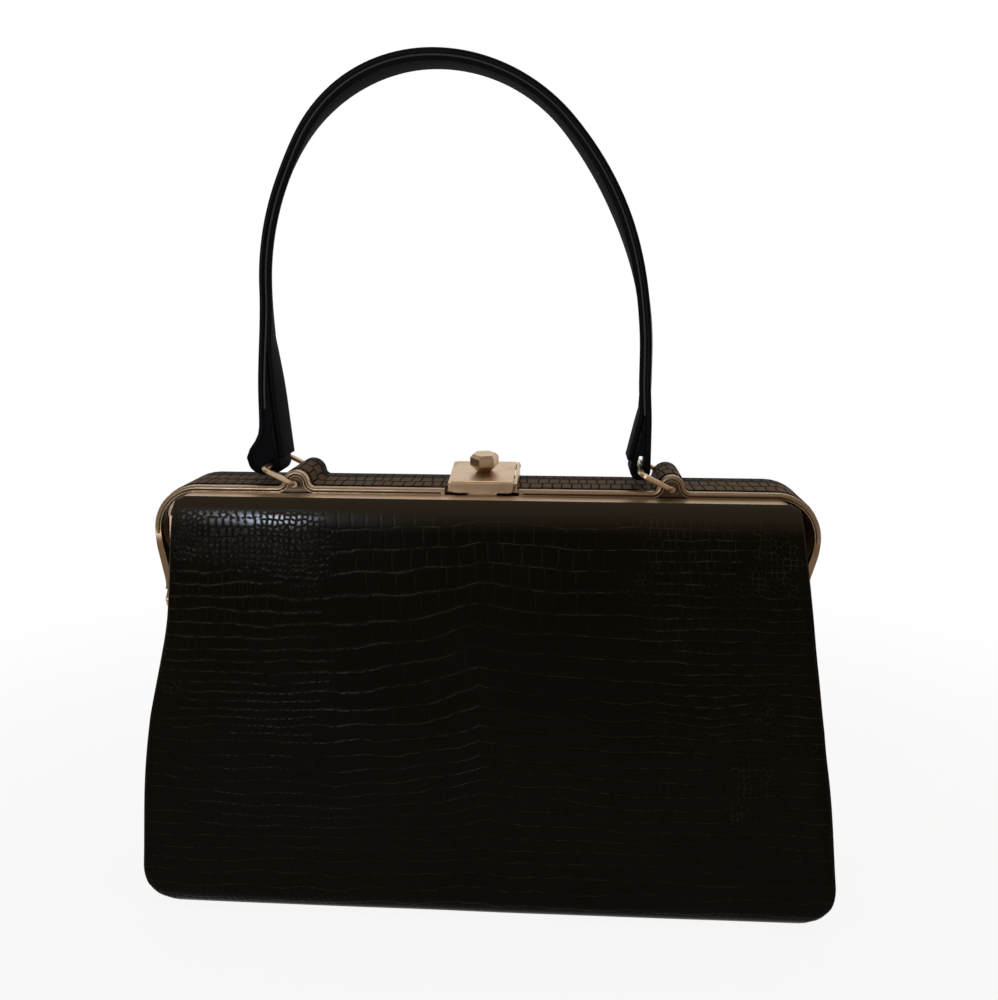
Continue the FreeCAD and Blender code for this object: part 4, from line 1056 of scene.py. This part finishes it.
def inner_line(depth, gap):
    """Middle of the inner ply, which flares over the tabs at its ends."""
    pieces = []
    for side in (-1, 1):
        end, directions = end_line(side, LOOP_INNER + PLY + gap, TAB_SHOWN)
        lean = tab_direction(side)
        x = BAR_X[side] + side * (LOOP_INNER + PLY - depth)
        meet = (x - end[0][0]) / lean[0]
        flare = end[0] + lean * np.linspace(0, meet, 9)[:, None]
        flare_out = np.tile(-directions[0], (len(flare), 1))
        leg = leg_line(side, depth, flare[-1][1])
        pieces.append([np.concatenate(both) for both in zip((flare, flare_out), leg)])
    return joined(pieces[0], arch_line(depth), pieces[1])


def strap_section(width, thickness, edge):
    """Closed outline of a ply: offsets outwards and across, with rounded edges."""
    corners = []
    for start, out, across in ((0, 1, 1), (90, -1, 1), (180, -1, -1), (270, 1, -1)):
        middle = (out * (thickness / 2 - edge), across * (width / 2 - edge))
        corners.append(arc_points(middle, edge, start, start + 90, 5))
    outline = np.concatenate(corners)
    return np.concatenate([outline, outline[:1]])


def leg_twist(line, shape):
    """Turn of the strap along its line: the legs twist, the ends and the top don't."""
    right = smooth_step(-60 * MM, 20 * MM, line[:, 0])
    height = line[:, 1]
    left_turn = shape.left_twist * smooth_step(215 * MM, 260 * MM, height)
    right_turn = shape.right_twist + shape.turn_back * smooth_step(245 * MM, 300 * MM, height)
    right_turn = right_turn * smooth_step(205 * MM, 225 * MM, height)
    fade = 1 - smooth_step(305 * MM, 353 * MM, height)
    return (left_turn * (1 - right) + right_turn * right) * fade


def make_strap(name, line, normals, pivot, section, shape, swell=None):
    """A closed strap along a line, turned about the handle's middle; swell multiplies its thickness."""
    run = running_length(line)
    twist = leg_twist(line, shape)
    if swell is None:
        swell = np.ones(len(line))

    def place(u, v):
        index = nearest(u, line)
        out, across = section[nearest(v, section)].T
        out = out * swell[index]
        sine = np.sin(twist[index])
        cosine = np.cos(twist[index])
        along_normal = (pivot + out) * cosine - across * sine - pivot
        along_y = (pivot + out) * sine + across * cosine
        x, z = (line[index] + normals[index] * along_normal[:, None]).T
        return (x, HANDLE_Y + along_y, z), (run[index], across)
    piece = new_grid(name, (len(line) - 1, len(section) - 1), place)
    close_tube(piece)
    return piece


def make_panel(scene, name, half_width, top, facing, polish, nodes):
    """The front or the back leather: facing is -1 for the front and 1 for the back."""
    shape = scene.leather_shape
    piece = new_grid(name + "_leather", PANEL_GRID, panel_place(half_width, top, facing, shape))
    thicken(piece, shape.thickness, edge=0.35 * MM)
    material = embossed_leather(name + "_emboss", scene.leather_look, BELLY_HALF_WIDTH, PLAIN_FROM, polish)
    finish_piece(piece, material, nodes)
    return piece


# Operators, one for each piece or group of like pieces
class HANDBAG_OT_front_leather(bpy.types.Operator):
    """Front leather in one piece"""
    bl_idname = "handbag.front_leather"
    bl_label = "Front leather"

    def execute(self, context):
        nodes = ["front_panel_lower", "front_panel_upper"]
        piece = make_panel(context.scene, "front", front_half_width, FRONT_TOP, -1, FRONT_POLISH, nodes)
        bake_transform(piece)
        return {"FINISHED"}


class HANDBAG_OT_rear_leather(bpy.types.Operator):
    """Back leather, which widens at its shoulders to close the rear frame"""
    bl_idname = "handbag.rear_leather"
    bl_label = "Back leather"

    def execute(self, context):
        piece = make_panel(context.scene, "rear", rear_half_width, REAR_TOP, 1, 0.0, ["rear_panel"])
        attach(piece, "rear_half")
        return {"FINISHED"}


class HANDBAG_OT_gussets(bpy.types.Operator):
    """Pleated sides, tucked inwards between the arms"""
    bl_idname = "handbag.gussets"
    bl_label = "Sides"

    def execute(self, context):
        shape = context.scene.leather_shape
        material = embossed_leather("side_emboss", context.scene.leather_look, 0.0, NEVER_PLAIN)
        for name, side in (("gusset_left", -1), ("gusset_right", 1)):
            piece = new_grid(name + "_leather", GUSSET_GRID, gusset_place(side, shape))
            thicken(piece, shape.thickness, edge=0.3 * MM)
            finish_piece(piece, material, [name])
            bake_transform(piece)
        return {"FINISHED"}


class HANDBAG_OT_bottom_leather(bpy.types.Operator):
    """Flat leather bottom"""
    bl_idname = "handbag.bottom_leather"
    bl_label = "Bottom"

    def execute(self, context):
        shape = context.scene.leather_shape
        piece = new_grid("bottom_leather", BOTTOM_GRID, bottom_place(shape))
        thicken(piece, shape.thickness, edge=0.4 * MM)
        material = embossed_leather("bottom_emboss", context.scene.leather_look, 30 * MM, NEVER_PLAIN)
        finish_piece(piece, material, ["bottom_panel"], "rear_half")
        return {"FINISHED"}


class HANDBAG_OT_frame_cover(bpy.types.Operator):
    """Leather over the rear frame, open round the clasp"""
    bl_idname = "handbag.frame_cover"
    bl_label = "Frame cover"

    def execute(self, context):
        piece = new_grid("frame_cover_leather", *cover_place(band_line(COVER_OUTSIDE)))
        edit(piece)
        bpy.ops.mesh.select_all(action="DESELECT")
        bpy.ops.object.mode_set(mode="OBJECT")
        for face in piece.data.polygons:
            middle = face.center
            face.select = abs(middle.x) < CLASP_OPENING_X and middle.y < CLASP_OPENING_Y
        bpy.ops.object.mode_set(mode="EDIT")
        bpy.ops.mesh.delete(type="FACE")
        bpy.ops.object.mode_set(mode="OBJECT")
        thicken(piece, COVER_THICKNESS, edge=0.35 * MM)
        material = cover_leather("cover_emboss", context.scene.leather_look)
        finish_piece(piece, material, ["frame_cover"], "rear_half")
        return {"FINISHED"}


class HANDBAG_OT_linings(bpy.types.Operator):
    """Cloth pouch and the cloth behind the swinging leather"""
    bl_idname = "handbag.linings"
    bl_label = "Linings"

    def execute(self, context):
        material = lining_cloth("lining_weave", context.scene.cloth_look)
        pouch = new_grid("lining_pouch", POUCH_GRID, pouch_place(context.scene.leather_shape))
        edit(pouch)
        bpy.ops.mesh.remove_doubles(threshold=0.01 * MM)
        face_outwards()
        thicken(pouch, CLOTH, edge=0.1 * MM)
        finish_piece(pouch, material, ["lining"], "rear_half")
        front = new_grid("front_lining_cloth", FRONT_LINING_GRID, front_lining_place)
        thicken(front, CLOTH, edge=0.1 * MM)
        finish_piece(front, material, ["front_lining"], "front_half")
        return {"FINISHED"}


class HANDBAG_OT_handle(bpy.types.Operator):
    """Strap handle: outer ply looped round the rings, inner ply and the core between them"""
    bl_idname = "handbag.handle"
    bl_label = "Handle"

    def execute(self, context):
        shape = context.scene.strap_shape
        look = context.scene.leather_look
        gloss = glossy_leather("strap_gloss", look)
        dull = dull_leather("strap_inside", look)
        fibre = strap_core("strap_core", look)
        half = (PLY + CORE_SPACE + INNER_PLY) / 2
        inner_depth = PLY + CORE_SPACE + INNER_PLY / 2
        core_depth = PLY + CORE_SPACE / 2
        inner = inner_line(inner_depth, 0.15 * MM + INNER_PLY / 2)
        outer_section = strap_section(HANDLE_WIDTH, PLY, shape.edge)
        inner_section = strap_section(HANDLE_WIDTH, INNER_PLY, 0.8 * MM)
        core_section = strap_section(HANDLE_WIDTH - 0.5 * MM, CORE_SPACE + 0.1 * MM, 0.2 * MM)
        plies = (("outer_ply", outer_line(shape), PLY / 2, outer_section, gloss, "handle_strap"),
                 ("inner_ply", inner, inner_depth, inner_section, dull, "handle_lining"),
                 ("core_strip", core_line(core_depth), core_depth, core_section, fibre, "handle_core"))
        for name, line, depth, section, material, node in plies:
            ply = make_strap("handle_" + name, *line, half - depth, section, shape)
            finish_piece(ply, material, [node], "handle")
        filler_section = strap_section(HANDLE_WIDTH - 0.6 * MM, 1.0 * MM, 0.2 * MM)
        for name, side in (("handle_filler_left", -1), ("handle_filler_right", 1)):
            line, normals, thickness = filler_line(side, shape)
            filler = make_strap(name, line, normals, 0.0, filler_section, shape, thickness / MM)
            finish_piece(filler, dull, ["handle_core"], "handle")
        return {"FINISHED"}


class HANDBAG_OT_rail_trim(bpy.types.Operator):
    """Rounded front of the rail with painted shade along its lower half, and the sheet that closes its
    tunnels round the ring tubes, painted dark as the tunnels' shade
    """
    bl_idname = "handbag.rail_trim"
    bl_label = "Rail trim"

    def execute(self, context):
        # The bead's lower half is painted dark, standing in for the shade between the rail and the ledge.
        gold = satin_gold("rail_gold", context.scene.gold_look, tone=0.78, painted_shade_below=-0.1 * MM)
        # Painted shade: the tunnel sheets and the ring tubes get a gold darkened to about a fifth, standing
        # in for the shade in the tunnels.
        shaded = satin_gold("tunnel_shade_gold", context.scene.gold_look, tone=0.22)
        for name, side in (("left", -1), ("right", 1)):
            bead = new_grid("rail_bead_" + name, *bead_place(side))
            close_tube(bead)
            saddle = new_grid("tunnel_saddle_" + name, SADDLE_GRID, saddle_place(side))
            thicken(saddle, SADDLE_THICKNESS, edge=0.1 * MM)
            finish_piece(bead, gold, [], "rear_half")
            finish_piece(saddle, shaded, [], "rear_half")
            dress("ring_tube_" + name, shaded)
        return {"FINISHED"}


GOLD_NODES = ("front_frame", "rear_retainer", "front_retainer", "clasp_base", "clasp_hinge_pin", "clasp_flap",
              "clasp_knob", "knob_washer", "clasp_catch", "ring_left", "ring_right", "hinge_rivets",
              "hinge_washers", "gusset_rivets")


class HANDBAG_OT_hardware(bpy.types.Operator):
    """Finishes of the metal frame, clasp and rings, the spring and the bottom board"""
    bl_idname = "handbag.hardware"
    bl_label = "Hardware"

    def execute(self, context):
        gold = satin_gold("satin_gold", context.scene.gold_look)
        for name in GOLD_NODES:
            dress(name, gold)
        plated = satin_gold("frame_gold", context.scene.gold_look, tone=0.8, bare_from=RAIL_BACK_Y)
        dress("rear_frame", plated)
        dress("clasp_spring", spring_steel("rolled_spring_steel"))
        dress("bottom_board", pulp_board("pulp_board"))
        return {"FINISHED"}


# Stage
CAMERA_PLACE = (36.4 * MM, -459.2 * MM, 262.3 * MM)
CAMERA_PITCH = math.radians(10.97)
CAMERA_YAW = math.radians(-3.72)
CAMERA_ROLL = math.radians(0.15)
FOCAL_PIXELS = 1100
IMAGE_HEIGHT = 1000
SENSOR = 36.0
LIT_POINT = Vector((0, 0, 0.12))
FLOOR_RADIUS = 0.6
WHITE = (1, 1, 1, 1)


class HANDBAG_OT_stage(bpy.types.Operator):
    """Floor, lights and camera"""
    bl_idname = "handbag.stage"
    bl_label = "Stage"

    def execute(self, context):
        look = context.scene.stage_look
        make_floor(look)
        make_world(context.scene, look)
        add_light("window_light", (-0.40, -1.15, 0.36), look.key, size=0.09, colour=(0.72, 0.82, 1.0))
        add_light("overhead_light", (0.1, 0.1, 1.3), look.top, size=1.2, colour=(0.95, 0.98, 1.0))
        add_camera(context.scene)
        context.scene.view_settings.view_transform = "Standard"
        return {"FINISHED"}


def add_light(name, place, power, size, colour):
    """A square soft light turned towards the bag."""
    data = bpy.data.lights.new(name, "AREA")
    data.energy = power
    data.size = size
    data.color = colour
    light = bpy.data.objects.new(name, data)
    bpy.context.collection.objects.link(light)
    light.location = place
    light.rotation_euler = (LIT_POINT - light.location).to_track_quat("-Z", "Y").to_euler()


def seen_rays(start):
    """Which rays are the camera's, and which come by way of metal or glass."""
    outputs = start.node("ShaderNodeLightPath").socket.node.outputs
    names = ("Is Camera Ray", "Is Glossy Ray", "Is Transmission Ray")
    camera, glossy, through = [Value(start.tree, outputs[name]) for name in names]
    return camera, glossy + through


def make_floor(look):
    """A pale floor that keeps the bag's shadow and fades into the white background."""
    bpy.ops.mesh.primitive_circle_add(vertices=96, radius=FLOOR_RADIUS, fill_type="NGON")
    floor = bpy.context.object
    floor.name = "floor"
    material, shader, start = new_material("pale_floor")
    place = start.place()
    link(place.noise(30.0).mix(tint(look.floor, 0.99), tint(look.floor)), shader, "Base Color")
    shader.inputs["Roughness"].default_value = 0.9
    camera, mirrored = seen_rays(start)
    away = place.node("ShaderNodeVectorMath", {"operation": "LENGTH"}, {0: place}, "Value")
    white = away.step(0.2, FLOOR_RADIUS) * 0.1 + 0.9
    glow = start.node("ShaderNodeEmission", {}, {"Color": WHITE, "Strength": 1.0})
    shown = (camera + mirrored).math("MINIMUM", 1.0) * white
    matt = Value(start.tree, shader.outputs[0])
    mixed = start.node("ShaderNodeMixShader", {}, {0: shown, 1: matt, 2: glow})
    link(mixed, start.tree.nodes["Material Output"], "Surface")
    floor.data.materials.append(material)


def make_world(scene, look):
    """A dim room, with a white backdrop behind the bag that the camera, metal and glass show."""
    world = bpy.data.worlds.new("room")
    scene.world = world
    world.use_nodes = True
    start = Value(world.node_tree)
    direction = start.node("ShaderNodeTexCoord", {}, {}, "Generated")
    behind = direction.parts()[1].step(-0.2, 0.35)
    camera, mirrored = seen_rays(start)
    shown = (camera + mirrored * behind).math("MINIMUM", 1.0)
    link(shown.mix(tint(look.room), WHITE), world.node_tree.nodes["Background"], "Color")


def add_camera(scene):
    """A camera at the photograph's place, turned by its yaw, pitch and roll."""
    data = bpy.data.cameras.new("camera")
    data.sensor_width = SENSOR
    data.lens = SENSOR * FOCAL_PIXELS / IMAGE_HEIGHT
    data.clip_start = 0.01
    camera = bpy.data.objects.new("camera", data)
    scene.collection.objects.link(camera)
    yaw = Matrix.Rotation(-CAMERA_YAW, 4, "Z")
    pitch = Matrix.Rotation(math.pi / 2 - CAMERA_PITCH, 4, "X")
    roll = Matrix.Rotation(CAMERA_ROLL, 4, "Z")
    camera.matrix_world = Matrix.Translation(CAMERA_PLACE) @ yaw @ pitch @ roll
    scene.camera = camera


OPERATORS = (HANDBAG_OT_front_leather, HANDBAG_OT_rear_leather, HANDBAG_OT_gussets,
             HANDBAG_OT_bottom_leather, HANDBAG_OT_frame_cover, HANDBAG_OT_linings, HANDBAG_OT_handle,
             HANDBAG_OT_rail_trim, HANDBAG_OT_hardware, HANDBAG_OT_stage)


class HANDBAG_PT_panel(bpy.types.Panel):
    """Lists the handbag's pieces and settings"""
    bl_label = "Handbag"
    bl_idname = "HANDBAG_PT_panel"
    bl_space_type = "VIEW_3D"
    bl_region_type = "UI"
    bl_category = "Handbag"

    def draw(self, context):
        for operator in OPERATORS:
            self.layout.operator(operator.bl_idname)
        for name, group in GROUPS.items():
            box = self.layout.box()
            for setting in group.__annotations__:
                box.prop(getattr(context.scene, name), setting)


def register():
    for group in GROUPS.values():
        bpy.utils.register_class(group)
    for name, group in GROUPS.items():
        setattr(bpy.types.Scene, name, PointerProperty(type=group))
    for operator in OPERATORS:
        bpy.utils.register_class(operator)
    bpy.utils.register_class(HANDBAG_PT_panel)


def unregister():
    bpy.utils.unregister_class(HANDBAG_PT_panel)
    for operator in reversed(OPERATORS):
        bpy.utils.unregister_class(operator)
    for name in GROUPS:
        delattr(bpy.types.Scene, name)
    for group in reversed(list(GROUPS.values())):
        bpy.utils.unregister_class(group)


def main():
    register()
    for operator in OPERATORS:
        group, name = operator.bl_idname.split(".")
        getattr(getattr(bpy.ops, group), name)()


if __name__ == "__main__":
    main()
